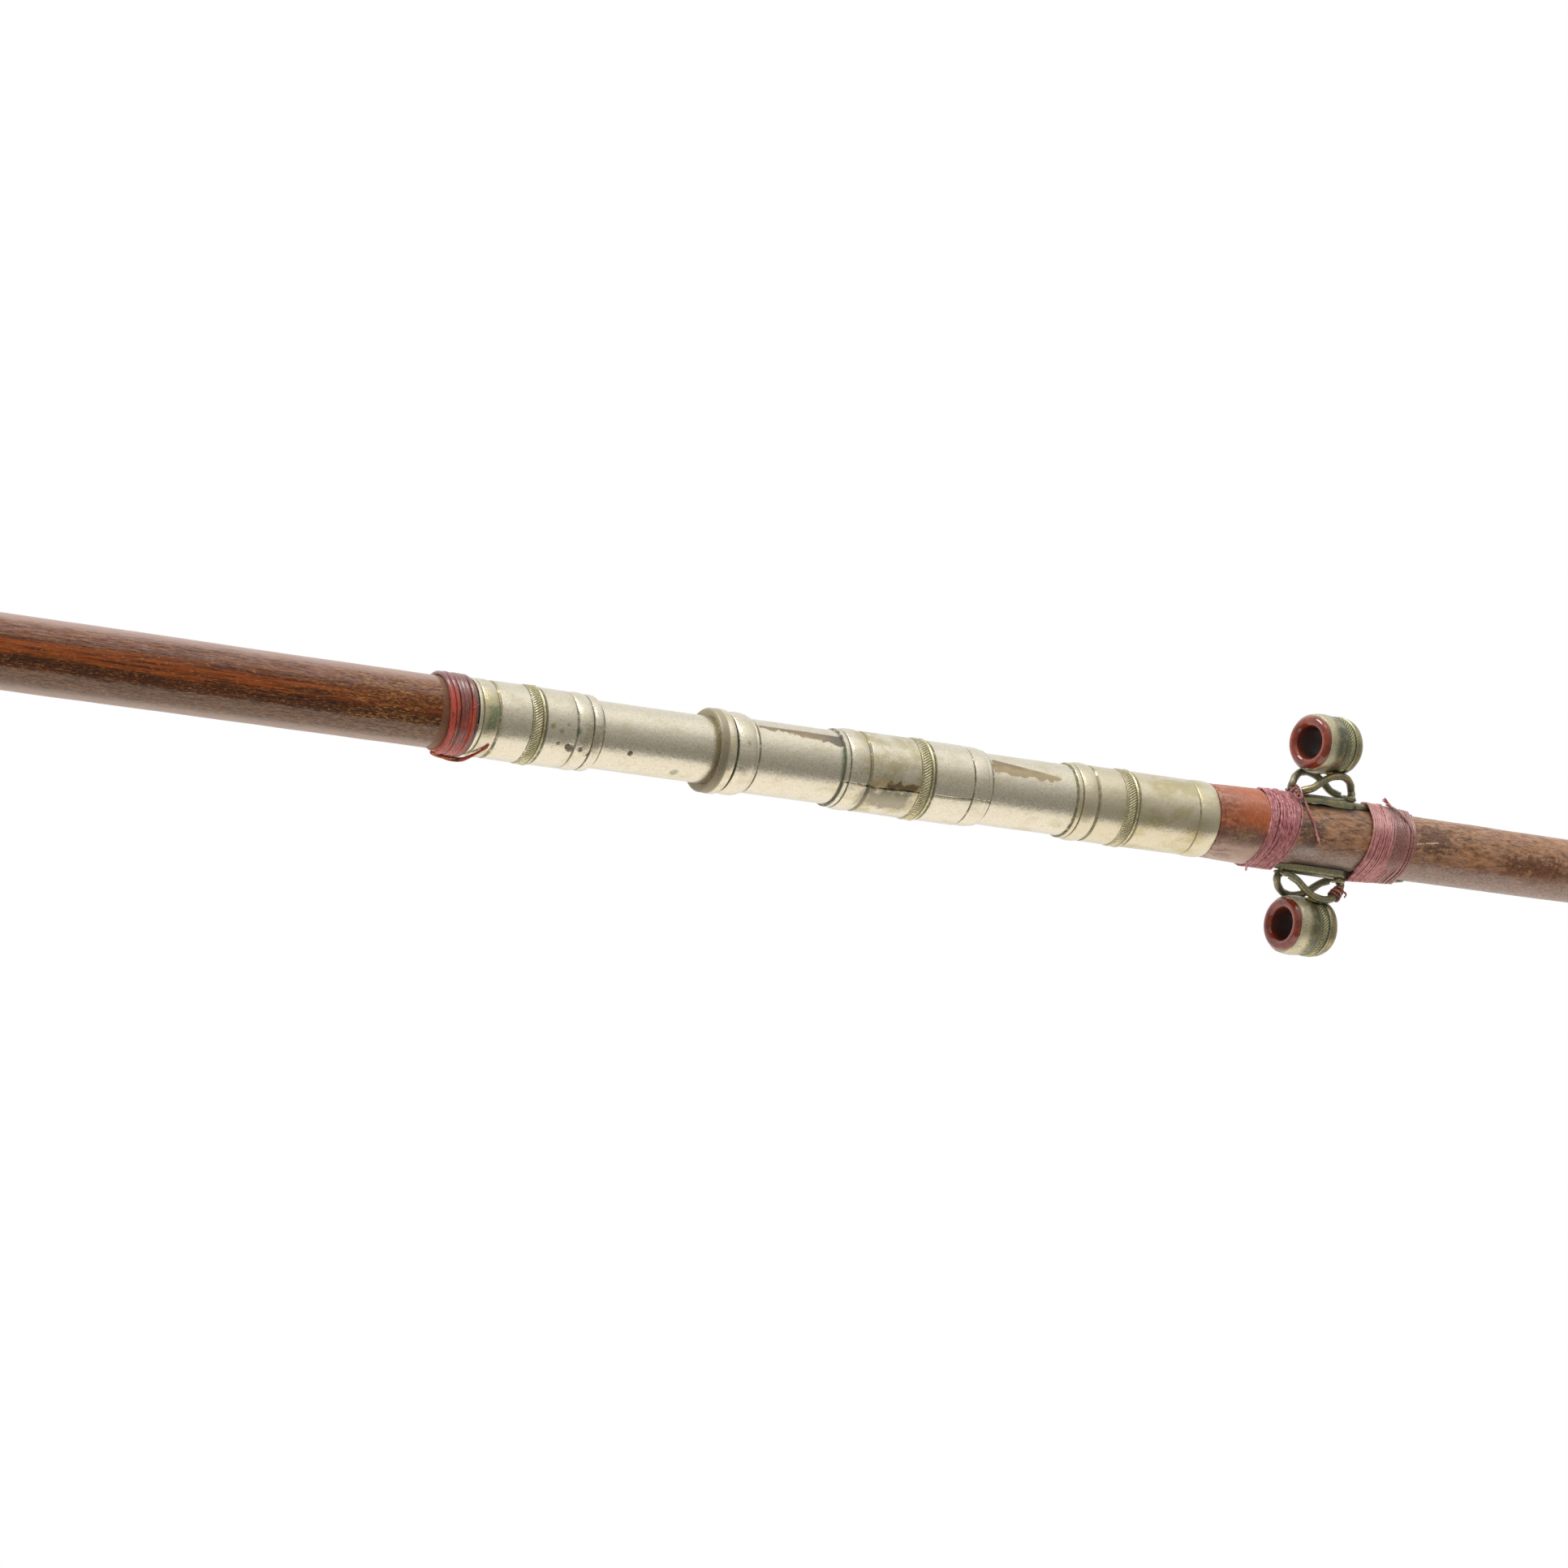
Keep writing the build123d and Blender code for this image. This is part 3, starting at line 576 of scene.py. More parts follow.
# Stations of the turned grooves, and half the width of the dirt in each.
grooves = [
    *offsets(butt_low, 0, (1.25, 0.14), (5.5, 0.22)),
    *offsets(butt_high, 0, (-7.0, 0.2), (-2.65, 0.12), (0.25, 0.2)), (collar_high + 0.15, 0.32),
    (welt_high + 0.25, 0.2), *offsets(middle_low, 0, (-0.2, 0.25), (1.35, 0.12), (6.95, 0.2)),
    *offsets(middle_high, 0, (-5.1, 0.2), (0.2, 0.2)),
    *offsets(rear_low, 0, (-0.2, 0.2), (1.25, 0.12), (5.75, 0.2)), (rear_high - 5.95, 0.2),
]
for ring in ("butt_sleeve_milled_ring", "middle_sleeve_milled_ring", "rear_sleeve_milled_ring"):
    low, high = span(ring)
    grooves += [(low - 0.1, 0.16), (high + 0.1, 0.2)]
off_slide = look.radius.step(8.02, 8.1)
not_slide = look.station.step(collar_low - 0.4, collar_low - 0.6) | off_slide
dirt = reduce(or_, [look.near(station, half, 0.22) for station, half in grooves])
dirt = dirt * look.noise(0.7, detail=4, offset=4.4).step(0.25, 0.5) * not_slide
grime = look.mix("#4a4633", "#5f7358", look.noise(0.9, detail=3, offset=7.7).step(0.5, 0.62))
look.stain(grime, dirt * 0.8)
# The mouth's face and rim are darkened by dirt and by painted shade in the recess, darkest where they face
# the -Y side, a painted dark reflection; the crest behind them is tinted pale yellow.
mouth_face = look.near(collar_low + 0.7, 1.25, 0.25) * off_slide
mouth_near = look.near(collar_low + 0.5, 1.1, 0.35) * off_slide
mouth_dirt_and_shade = mouth_near * (sand + look.height * 0.01).step(0.75, 0.35)
pale_crest = look.near(collar_low + 2.9, 0.9, 0.4) * cloud.step(0.4, 0.55) * off_slide
look.stain("#c6b98c", (pale_crest | mouth_face) * 0.5)
dark_facing_side = abs(look.angle).step(60, 25)
look.stain(look.mix("#7d705b", "#413626", dark_facing_side), (mouth_dirt_and_shade | mouth_face * 0.6) * 0.9)
edge = (look.noise(0.35, detail=5, offset=3.0) - 0.5) * 26
strip_rise = (look.station - middle_low) * 0.75
strip_angle = look.angle + edge + strip_rise
strip = (
    look.station.step(welt_high + 0.4, welt_high + 1.4)
    * look.station.step(middle_low + 0.1, middle_low - 0.4)
)
strip = strip * strip_angle.step(36, 38.5) * look.angle.step(61, 56)
above_seam = look.angle.step(-19.5, -18.3)
tongue = look.patch((middle_high + 0.6, middle_high + 19), (30, 60), 1.0, soft=0.3, grain=0.35)
tongue = tongue * (look.angle + (look.station - middle_high) * 1.1).step(60, 57)
seam_lacquer = look.patch((middle_low + 8, middle_low + 20), (-22, -9), 1.0, soft=0.5, grain=0.5) * above_seam
lacquer = (strip | tongue | seam_lacquer) * not_slide
darker = look.station.step(middle_low - 8, middle_low - 0.5)
lacquer_tone = look.noise(0.8, (0.3, 1, 1), detail=5, offset=1.1) + (look.angle - 46) * 0.03
lacquer_colour = lacquer_tone.ramp((0.3, "#a8926e"), (0.55, "#8a7150"), (0.85, "#6b5138"))
burnt = darker * look.station.step(middle_low + 1, middle_low)
lacquer_colour = look.mix(lacquer_colour, "#3c3a3a", burnt * 0.9)
look.stain(lacquer_colour, lacquer * 0.85)
grey_patch = look.patch((middle_low + 5.5, middle_low + 19), (-54, -19.5), 1.8, soft=1.6, grain=0.5)
seam_shade = (look.angle + speck * 8).step(-38, -18)
look.stain(look.mix("#857e6a", "#565040", seam_shade), grey_patch * 0.8)
yellow = (
    look.near(middle_low + 14, 7, 5)
    | look.near(rear_low + 24, 9, 5)
    | look.near(butt_low + 3.5, 2.3, 0.8)
)
yellow = yellow * cloud.step(0.4, 0.6)
foot_yellow = look.near(butt_low + 3.2, 2.0, 0.5) * look.angle.step(-45, -15) * look.angle.step(65, 40)
yellow = yellow | foot_yellow * speck.step(0.38, 0.52)
yellow = yellow * (1.0 - grey_patch)
look.stain("#a89b62", yellow * 0.5)
seam_dirt = look.patch((middle_low + 11.5, middle_low + 19.6), (-20, -9), 1.0, soft=0.5, grain=0.6)
seam_dirt = seam_dirt * above_seam * not_slide
look.stain("#4d3a20", seam_dirt * 0.8)
brown_stain = (
    look.patch((butt_high - 5.2, butt_high - 0.5), (-34, 16), 1.2, grain=0.9) * speck.step(0.44, 0.56)
)
look.stain("#8d8058", brown_stain * 0.6)
verdigris = look.patch((butt_low + 2.2, butt_low + 4.8), (-14, 22), 0.6)
verdigris = verdigris | look.patch((middle_low - 1.1, middle_low), (-12, 30), 0.5, soft=0.5)
verdigris = (
    verdigris
    | look.spot(welt_low - 13.9, -51, 1.0, SPOT_RADIUS)
    | look.spot(butt_high - 6.7, 1, 0.75)
)
look.stain("#64805c", verdigris * speck.step(0.38, 0.5) * not_slide * 0.7)
look.stain("#a3914a", reduce(or_, [look.spot(*mark) for mark in BRASS_SPOTS]) * 0.7)
scratches = look.noise(2.2, (0.35, 1, 1), detail=6, roughness=0.75, offset=52.0).step(0.57, 0.66)
scuffed = look.patch((213, 231), (-48, -22), 2.5, soft=2.0, grain=0.5) * scratches
look.stain("#8a7d5f", scuffed * 0.7)
dark_spots = reduce(or_, [look.spot(*mark) for mark in DARK_SPOTS])
look.stain("#4a4435", dark_spots * 0.85)
rear_zone = look.station.step(rear_low - 0.5, rear_low)
look.stain("#c3b486", rear_zone * speck.step(0.36, 0.62) * 0.5)
stained = lacquer | dirt | mouth_face | dark_spots
rough = look.blend(look.blend(0.2, 0.34, speck.step(0.35, 0.65)), 0.42, tarnish | pits)
relief = speck * 0.6 + (brushed * 0.3 + sand * 0.5) - (pits + dark_spots * 2)
relief = relief + look.noise(0.6, detail=2, offset=19.0) * 2.4
silver = look.finish(
    look.blend(rough, 0.45, stained), relief, 0.03, Metallic=look.blend(1.0, 0.35, stained),
)


def milled_look(name, slot, crest_colour, worn_colour, valley_colour):
    """Milled metal: bright worn crests over dirty valleys, led by the ridges' own shape."""
    look = Look(name, slot)
    ridge = look.attribute("ridge")
    speck = look.noise(1.8, detail=5, roughness=0.7)
    look.colour = look.mix(crest_colour, worn_colour, speck.step(0.4, 0.62))
    valley = (ridge + speck * 0.4).step(0.62, 0.2)
    look.stain(valley_colour, valley * 0.85)
    return look.finish(
        look.blend(0.36, 0.62, valley), speck, 0.03, Metallic=look.blend(0.95, 0.3, valley),
    )


milled_silver = milled_look("milled_silver", "milled_silver", "#d6cfae", "#aea378", "#4f4a32")
milled_bronze = milled_look("milled_bronze", "guide_bronze", "#b9b48f", "#8b8a6a", "#2c3026")

# Heads of the two pins.
look = Look("pin_metal")
look.colour = look.noise(2.5, detail=5).ramp((0.35, "#4e4637"), (0.6, "#8d836c"))
pin_look = look.finish(0.55, look.noise(4), 0.05, Metallic=0.5)


def guide_bronze():
    """Guide bronze: olive metal with green-grey patina and brassy wear, and a painted highlight by each
    bell's front lip.
    """
    look = Look("guide_bronze")
    cloud = look.noise(0.45, detail=5, roughness=0.65)
    speck = look.noise(3.0, detail=6, roughness=0.72, offset=2.0)
    look.colour = speck.ramp((0.3, "#4d4d3c"), (0.5, "#8a866c"), (0.7, "#b6b194"))
    green = cloud.step(0.45, 0.7) * speck.step(0.3, 0.55)
    look.stain("#747b6a", green * 0.75)
    worn_grain = look.noise(5.5, detail=4, roughness=0.75, offset=17.0)
    look.stain("#c6bc98", worn_grain.step(0.54, 0.66) * 0.45)
    look.stain("#34382a", worn_grain.step(0.46, 0.36) * 0.5)
    bare = look.depth.step(-0.5, -3.5) * cloud.step(0.56, 0.4) * speck.step(0.32, 0.5)
    look.stain("#b8a266", bare * 0.5)
    on_bell = look.radius.step(15.8, 16.4)
    ring_grime = look.near(GUIDE_STATION + 1.4, 2.0, 1.6) * cloud.step(0.3, 0.6) * on_bell
    look.stain("#4f5749", ring_grime * 0.75)
    # Painted highlight: pale cream on the near side of the bell by its front lip.
    painted_lip_highlight = look.near(GUIDE_STATION - 4.6, 1.6, 1.4) * speck.step(0.3, 0.5) * look.depth.step(3, -3) * on_bell
    look.stain("#dad2b4", painted_lip_highlight * 0.6)
    pits = look.noise(1.6, detail=4, offset=7.0).step(0.66, 0.76)
    look.stain("#2c3026", pits * 0.65)
    rough = look.blend(look.blend(0.36, 0.55, green), 0.3, bare)
    return look.finish(
        rough, speck - pits, 0.04,
        Metallic=look.blend(look.blend(0.75, 0.4, green), 0.85, bare),
    )


bronze = guide_bronze()

# Polished red agate, dull inside the bore and darker deeper in, from dirt and painted shade.
look = Look("agate")
band = look.noise(0.5, (1, 1, 1), detail=5, roughness=0.6)
rim = look.attribute("rim")
look.colour = band.ramp((0.3, "#551404"), (0.5, "#832a08"), (0.7, "#9a3a10"))
bore_dirt_and_shade = (rim + band * 0.4).step(1.3, 0.35)
look.stain("#3c2a28", bore_dirt_and_shade * 0.92)
look.stain("#a8614a", look.noise(3.5, detail=3, offset=3.3).step(0.55, 0.7) * 0.25)
agate = look.finish(
    look.blend(0.1, 0.5, bore_dirt_and_shade), look.noise(1.2, detail=2), 0.01,
    Subsurface_Weight=look.blend(0.2, 0.0, bore_dirt_and_shade), Subsurface_Radius=(0.002, 0.0006, 0.0003),
    Coat_Weight=look.blend(0.7, 0.0, bore_dirt_and_shade), Coat_Roughness=0.07,
)


def thread_look(name, slot, dark, middle, bright, sheen, gloss, masks=None, crest_shading=0.035):
    """Twisted thread, with its plies painted lighter on their crests and darker between them as painted
    shade, and fine fibres running round the rod.
    """
    look = Look(name, slot)
    ply = look.attribute("ply")
    fibre = look.noise(6.5, (1.0, 0.14, 0.14), detail=4, roughness=0.65, offset=1.9)
    tone = look.noise(0.9, detail=4) + ply * crest_shading
    tone = tone + (fibre - 0.5) * 0.5
    look.colour = tone.ramp((0.3, dark), (0.5, middle), (0.72, bright))
    roughness, coat = masks(look, fibre) if masks else (0.62, gloss)
    return look.finish(
        roughness, fibre, 0.05, Coat_Weight=coat, Coat_Roughness=0.16, Sheen_Weight=sheen,
        Sheen_Roughness=0.4,
    )


def red_masks(look, fibre):
    """Crimson on the first turns below the top and beyond the whipping, and as painted light on the front by
    the tip end and on the underside; browned by old varnish elsewhere, with a golden front.
    """
    whipping_low, whipping_high = span("butt_whipping")
    lit = look.angle.step(58, 34) * look.noise(0.6, detail=3, offset=1.5).step(0.3, 0.45)
    bright = look.station.step(whipping_low + 2.3, whipping_low + 1.6) * lit
    front = look.angle.step(-46, -30) * look.angle.step(30, 12)
    # Painted light: crimson on the front by the tip end and on the underside.
    bright = (
        bright
        | look.near(whipping_high - 1.9, 0.5, 0.3) * front
        | look.angle.step(-38, -52) * fibre.step(0.4, 0.55)
    )
    bright = bright | look.station.step(whipping_high + 0.1, whipping_high + 0.5)
    patchy = look.noise(1.1, (1, 0.3, 0.3), detail=7, roughness=0.72, offset=2.4)
    brown = patchy.step(0.4, 0.54) * (1.0 - bright * 0.8)
    look.stain("#6b3422", brown * 0.75)
    look.stain("#c84a38", bright * fibre.step(0.28, 0.52) * 0.7)
    greyed = look.angle.step(18, 50) * patchy.step(0.6, 0.45)
    look.stain("#6e4240", greyed * 0.45)
    golden = (
        fibre.step(0.54, 0.66) * look.angle.step(36, 16)
        * look.noise(0.8, detail=2, offset=8.8).step(0.4, 0.55)
    )
    look.stain("#b5833f", golden * 0.65)
    edge_dirt = look.near(whipping_high - 0.5, 0.5, 0.3) * look.angle.step(50, 25)
    look.stain("#4b3322", edge_dirt * 0.7)
    return look.blend(0.3, 0.55, bright), look.blend(0.9, 0.3, bright)


red_thread = thread_look(
    "red_thread", "red_thread", "#46120e", "#8a2a20", "#b8483a", 0.1, 0.6, red_masks, 0.1,
)
far_low, far_high = span("guide_whipping_tip_side")


def pink_masks(look, fibre):
    """Faded pink with pale glints, varnished brown at the far whipping's tip side; painted shade on the lower
    side, and on the far whipping a painted highlight above and painted shade on the front.
    """
    varnished = (look.station + look.noise(0.5, detail=4) * 3).step(far_low + 7.0, far_low + 9.5)
    varnished = varnished | look.near(397.5, 1.4, 1.2) * look.noise(0.9, detail=3).step(0.45, 0.6)
    far_side = look.station.step(far_low - 1, far_low)
    look.stain("#e8a8a2", far_side * 0.45)
    # Painted shade: darker on the lower side, less so on the far whipping.
    look.stain("#8f5652", look.angle.step(8, -24) * look.blend(0.35, 0.15, far_side))
    glints = look.noise(5.0, (1.3, 0.16, 0.16), detail=5, roughness=0.7, offset=11.0).step(0.53, 0.68)
    upper_light = look.angle.step(0, 25) * look.angle.step(75, 45)
    # Painted highlight on the far whipping's upper side.
    far_upper_highlight = far_side * look.angle.step(12, 34) * look.angle.step(160, 120)
    look.stain("#ffc9c4", far_upper_highlight * 0.5)
    shaded = far_side * abs(look.angle).step(36, 22)
    look.stain("#8f4a4c", shaded * 0.35)
    look.stain("#f3d3cf", glints * look.blend(0.4, 0.7, upper_light))
    look.stain("#7c2f38", look.noise(3.1, (1, 0.3, 0.3), detail=4, offset=19.0).step(0.45, 0.36) * 0.5)
    coated = look.mix("#74403a", "#a8745f", look.noise(2.4, detail=5, offset=3).step(0.46, 0.62))
    look.stain(coated, varnished * 0.7)
    return look.blend(0.5, 0.3, varnished), look.blend(0.1, 0.7, varnished)


pink_thread = thread_look(
    "pink_thread", "pink_thread", "#7c3c42", "#bb6c72", "#e2a3a3", 0.15, 0.1, pink_masks, 0.06,
)
knot_thread = thread_look("knot_thread", "red_thread", "#5a2a20", "#9c5c4a", "#c98f7c", 0.1, 0.1)
frayed_pink = thread_look("frayed_pink", "pink_thread", "#c0686a", "#e08c8a", "#f0b8b2", 0.3, 0.0)


def tail_masks(look, fibre):
    """Amber varnish over thread, greyed below and painted pale at the bottom as a reflection of the floor,
    with a pale scuff and a glowing band.
    """
    tail_low, tail_high = span("tail_winding")
    lower = (look.angle + look.noise(0.4, detail=4) * 30).step(22, -2)
    look.stain(look.mix("#85655a", "#5e4038", look.noise(0.9, detail=4, offset=6)), lower * 0.85)
    # Painted reflection of the pale floor at the bottom.
    pale = (look.angle + look.noise(0.5, detail=5, offset=2) * 24).step(-8, -26)
    look.stain(look.mix("#dcbda6", "#a88a78", fibre), pale * 0.85)
    scuff = (
        look.patch((tail_low + 2, tail_high - 4), (-26, -8), 1.2)
        * look.noise(1.6, detail=4, offset=9).step(0.5, 0.6)
    )
    look.stain("#a3925c", scuff * 0.75)
    glow = (
        look.station.step(tail_high - 14, tail_high - 6) * look.angle.step(-6, 12)
        * look.noise(0.6, detail=5, offset=31).step(0.3, 0.5)
    )
    look.stain("#b9591c", glow * 0.7)
    aged = (
        look.station.step(tail_high - 5, tail_low + 3)
        * look.noise(1.1, (0.3, 1, 1), detail=6, offset=33).step(0.44, 0.6)
    )
    look.stain("#6e3420", aged * 0.6)
    return look.blend(0.32, 0.5, scuff), 0.5


tail_thread = thread_look(
    "tail_thread", "tail_thread", "#8a4a2c", "#ad623c", "#c98456", 0.05, 0.7, tail_masks,
)

# Varnish and fluff under the pink whippings, made dark to stand also for the shade between the turns.
look = Look("winding_bed", "pink_thread")
look.colour = look.noise(1.4, detail=5).ramp((0.35, "#3b1f1c"), (0.65, "#6b3f3a"))
bed_look = look.finish(0.6, look.noise(3), 0.05)

# The lump where varnish has soaked the far whipping.
look = Look("varnished_pink", "pink_thread")
look.colour = look.noise(3.6, detail=6, roughness=0.75).ramp(
    (0.34, "#4c2622"), (0.5, "#84504a"), (0.62, "#a87466"), (0.72, "#d3b0a2"),
)
varnished_pink = look.finish(0.42, look.noise(4.0, detail=5), 0.12, Coat_Weight=0.5, Coat_Roughness=0.2)

# Bleached ends of the red thread.
look = Look("cut_fibre", "red_thread")
look.colour = look.noise(2.2, (0.3, 1, 1), detail=4).ramp(
    (0.35, "#7a3520"), (0.5, "#b0683a"), (0.65, "#cf9a5e"),
)
cut_fibre = look.finish(0.7)

# ---- Canes ---------------------------------------------------------------------------------------
BUTT, TIP = "butt_section", "tip_section"
cane_high = span("butt_cane")[1]
tube_low, tube_high = span("male_slide_tube")
CANE_BUTT_RADIUS = 8.65
CANE_NECK_RADIUS = 8.4
CANE_TENON_RADIUS = 7.44
BUTT_HOLLOW = 3.2
TIP_HOLLOW = 2.6
NODE_HALF = 2.6
END_ROUNDING = 0.35


def cane_node(station, radius):
    """The ridge where a leaf grew: a low swelling with a thin scar line on its crest."""
    return offsets(
        station, radius, (-NODE_HALF, 0), (-1.4, 0.22), (-0.55, 0.46), (-0.2, 0.32), (0.15, 0.46),
        (1.2, 0.3), (NODE_HALF, 0),
    )


def uneven_cane(seed):
    """Long shallow waves and short ones of a grown surface."""

    def shape(station, angle, radius, outside):
        waves = 0.045 * ripple(station, angle, seed, 3, 60) + 0.018 * ripple(station, angle, seed + 1, 9, 14)
        return radius + outside * waves, {}

    return shape


outer = [
    (0, CANE_BUTT_RADIUS - END_ROUNDING), (END_ROUNDING, CANE_BUTT_RADIUS),
    *cane_node(50, CANE_BUTT_RADIUS), (62, CANE_BUTT_RADIUS), (161, CANE_NECK_RADIUS),
    (tube_low, CANE_NECK_RADIUS), (tube_low, CANE_TENON_RADIUS), (cane_high, CANE_TENON_RADIUS),
]
turned(
    "butt_cane_culm", densify(outer, 2.5), [(0, BUTT_HOLLOW), (cane_high, BUTT_HOLLOW)], butt_cane_look, BUTT,
    ["butt_cane"], shape=uneven_cane(3),
)

tip_low, tip_high = span("tip_cane")
rear_tube_low, rear_tube_high = span("rear_tube")
TIP_RADIUS = 7.6
# The tip cane is thinner between the whippings.
outer = [
    (tip_low, 7.94), (rear_tube_high, 7.94), (391, 7.7), (417, 7.7), (431, 7.9), (470, 7.7),
    *cane_node(489, TIP_RADIUS), (tip_high - END_ROUNDING, TIP_RADIUS),
    (tip_high, TIP_RADIUS - END_ROUNDING),
]
turned(
    "tip_cane_culm", densify(outer, 2.5), [(tip_low, TIP_HOLLOW), (tip_high, TIP_HOLLOW)], tip_cane_look, TIP,
    ["tip_cane"], shape=uneven_cane(5),
)
for node in ("butt_cane_dowel", "male_end_plug", "tip_cane_dowel"):
    frame["nodes"][node].data.materials.clear()
    frame["nodes"][node].data.materials.append(hardwood_look)

# ---- Ferrule -------------------------------------------------------------------------------------
SOCKET_RADIUS = radius_of("female_socket_tube")
SLIDE_RADIUS = radius_of("male_slide_tube")
REAR_TUBE_RADIUS = radius_of("rear_tube")
DENT = 0.02
SOCKET_BORE = 7.98
MOUTH_DEPTH = 0.75
SLIDE_BORE = 7.45
REAR_TUBE_BORE = 7.95
SLEEVE_SEAT = 0.24


def worn_metal(seed, depth=DENT):
    """Faint dents and hollows."""

    def shape(station, angle, radius, outside):
        return radius + outside * depth * ripple(station, angle, seed, 5, 18), {}

    return shape


def worn_slide(station, angle, radius, outside):
    """Wear that only takes metal off, so that the slide stays inside its socket."""
    return radius - outside * 0.006 * (1 + ripple(station, angle, 21, 4, 22)), {}


outer = [(tube_low, SLIDE_RADIUS), *offsets(tube_high, SLIDE_RADIUS, (-0.45, 0), (-0.12, -0.1), (0, -0.32))]
turned(
    "slide_tube", densify(outer, 3), [(tube_low, SLIDE_BORE), (tube_high, SLIDE_BORE)], silver, BUTT,
    ["male_slide_tube"], shape=worn_slide,
)
socket_high = span("female_socket_tube")[1]
mouth_end = collar_low + MOUTH_DEPTH + 0.1
turned(
    "socket_tube", densify([(mouth_end, SOCKET_RADIUS), (socket_high, SOCKET_RADIUS)], 3),
    [(mouth_end, SOCKET_BORE), (socket_high, SOCKET_BORE)], silver, TIP, ["female_socket_tube"],
    shape=worn_metal(31),
)
turned(
    "rear_tube_wall", densify([(rear_tube_low, REAR_TUBE_RADIUS), (rear_tube_high, REAR_TUBE_RADIUS)], 3),
    [(rear_tube_low, REAR_TUBE_BORE), (rear_tube_high, REAR_TUBE_BORE)], silver, TIP, ["rear_tube"],
    shape=worn_metal(33),
)


def ring_seat(node, body):
    """The shallow channel that a milled ring sits in."""
    low, high = span(node)
    return [(low, body), (low, body - SLEEVE_SEAT), (high, body - SLEEVE_SEAT), (high, body)]


BUTT_BODY = 9.05
outer = [
    *offsets(
        butt_low, BUTT_BODY, (0, -0.18), (0.12, 0.02), (0.45, 0.07), (0.85, 0.05), (1.1, -0.14),
        (1.3, -0.3),
    ),
    *crown(butt_low + 1.3, butt_low + 5.35, BUTT_BODY - 0.42, 0.52),
    *offsets(butt_low, BUTT_BODY, (5.5, -0.34), (5.85, -0.04), (6.1, 0)),
    *ring_seat("butt_sleeve_milled_ring", BUTT_BODY),
    *offsets(butt_high, BUTT_BODY, (-7.3, 0), (-7.05, -0.12), (-6.85, -0.34)),
    *crown(butt_high - 6.6, butt_high - 2.75, BUTT_BODY - 0.42, 0.48),
    *crown(butt_high - 2.65, butt_high - 0.15, BUTT_BODY - 0.5, 0.4), (butt_high, BUTT_BODY - 0.6),
]
turned(
    "butt_sleeve_shell", densify(outer, 2),
    [(butt_low, 8.4), (tube_low, 8.4), (tube_low, SLIDE_RADIUS), (butt_high, SLIDE_RADIUS)], silver, BUTT,
    ["butt_sleeve"], shape=worn_metal(35),
)

COLLAR = radius_of("mouth_collar")
outer = [
    *offsets(collar_low, COLLAR, (0, -0.6), (0.1, -0.35), (0.4, -0.16), (1.9, -0.14), (2.2, -0.08), (2.5, 0)),
    *offsets(collar_low, COLLAR, (3.2, -0.01), (3.8, -0.12), (4.1, -0.4)), (collar_high, COLLAR - 0.7),
]
mouth = [
    (collar_low + 0.02, 9.3), (mouth_end - 0.2, SOCKET_BORE + 0.03), (mouth_end - 0.1, SOCKET_BORE),
    (mouth_end, SOCKET_BORE), (mouth_end, SOCKET_RADIUS), (collar_high, SOCKET_RADIUS),
]
turned("mouth_collar_ring", outer, mouth, silver, TIP, ["mouth_collar"], shape=worn_metal(37, 0.02))
WELT = radius_of("mouth_welt")
outer = [
    (welt_low, SOCKET_RADIUS + 0.2),
    *crown(welt_low + 0.05, welt_high - 0.75, SOCKET_RADIUS + 0.35, WELT - SOCKET_RADIUS - 0.35),
    *offsets(welt_high, SOCKET_RADIUS, (-0.6, 0.3), (-0.4, 0.38), (-0.15, 0.33), (0, 0.15)),
]
turned(
    "mouth_welt_ring", outer, [(welt_low, SOCKET_RADIUS), (welt_high, SOCKET_RADIUS)], silver, TIP,
    ["mouth_welt"], shape=worn_metal(39),
)

MIDDLE_BODY = 9.5
SEAM_ANGLE = radians(-18.7)
SEAM_WIDTH = 0.28


def seamed(seed):
    """A rolled sleeve: an open seam with slightly raised edges."""

    def shape(station, angle, radius, outside):
        away = (angle - SEAM_ANGLE + pi) % (2 * pi) - pi
        away = np.abs(away * radius + 0.12 * ripple(station, angle * 0, seed + 5, 0, 12))
        slot = np.clip(1.6 - away / (SEAM_WIDTH * 0.6), 0, 1)
        edge = np.exp(-((away / 0.9) ** 2)) * 0.05
        return radius + outside * (0.012 * ripple(station, angle, seed, 5, 18) + edge - 0.42 * slot), {}

    return shape


outer = [
    *offsets(middle_low, SOCKET_RADIUS, (0, 0.3), (0.15, 0.52), (1.1, 0.55), (1.35, 0.4)),
    *crown(middle_low + 1.4, middle_low + 6.7, MIDDLE_BODY - 0.45, 0.6),
    *offsets(middle_low, MIDDLE_BODY, (6.95, -0.34), (7.3, -0.04), (7.6, 0)),
    *ring_seat("middle_sleeve_milled_ring", MIDDLE_BODY),
    *offsets(middle_high, MIDDLE_BODY, (-5.4, 0), (-5.15, -0.3)),
    *crown(middle_high - 5.0, middle_high - 1.0, MIDDLE_BODY - 0.4, 0.32),
    *offsets(middle_high, MIDDLE_BODY, (-0.8, -0.38), (-0.2, -0.4), (0, -0.55)),
]
turned(
    "middle_sleeve_shell", densify(outer, 1.5),
    [
        (middle_low, SOCKET_RADIUS), (socket_high, SOCKET_RADIUS), (socket_high, REAR_TUBE_RADIUS),
        (middle_high, REAR_TUBE_RADIUS),
    ],
    silver, TIP, ["middle_sleeve"], segments=720, shape=seamed(41),
)

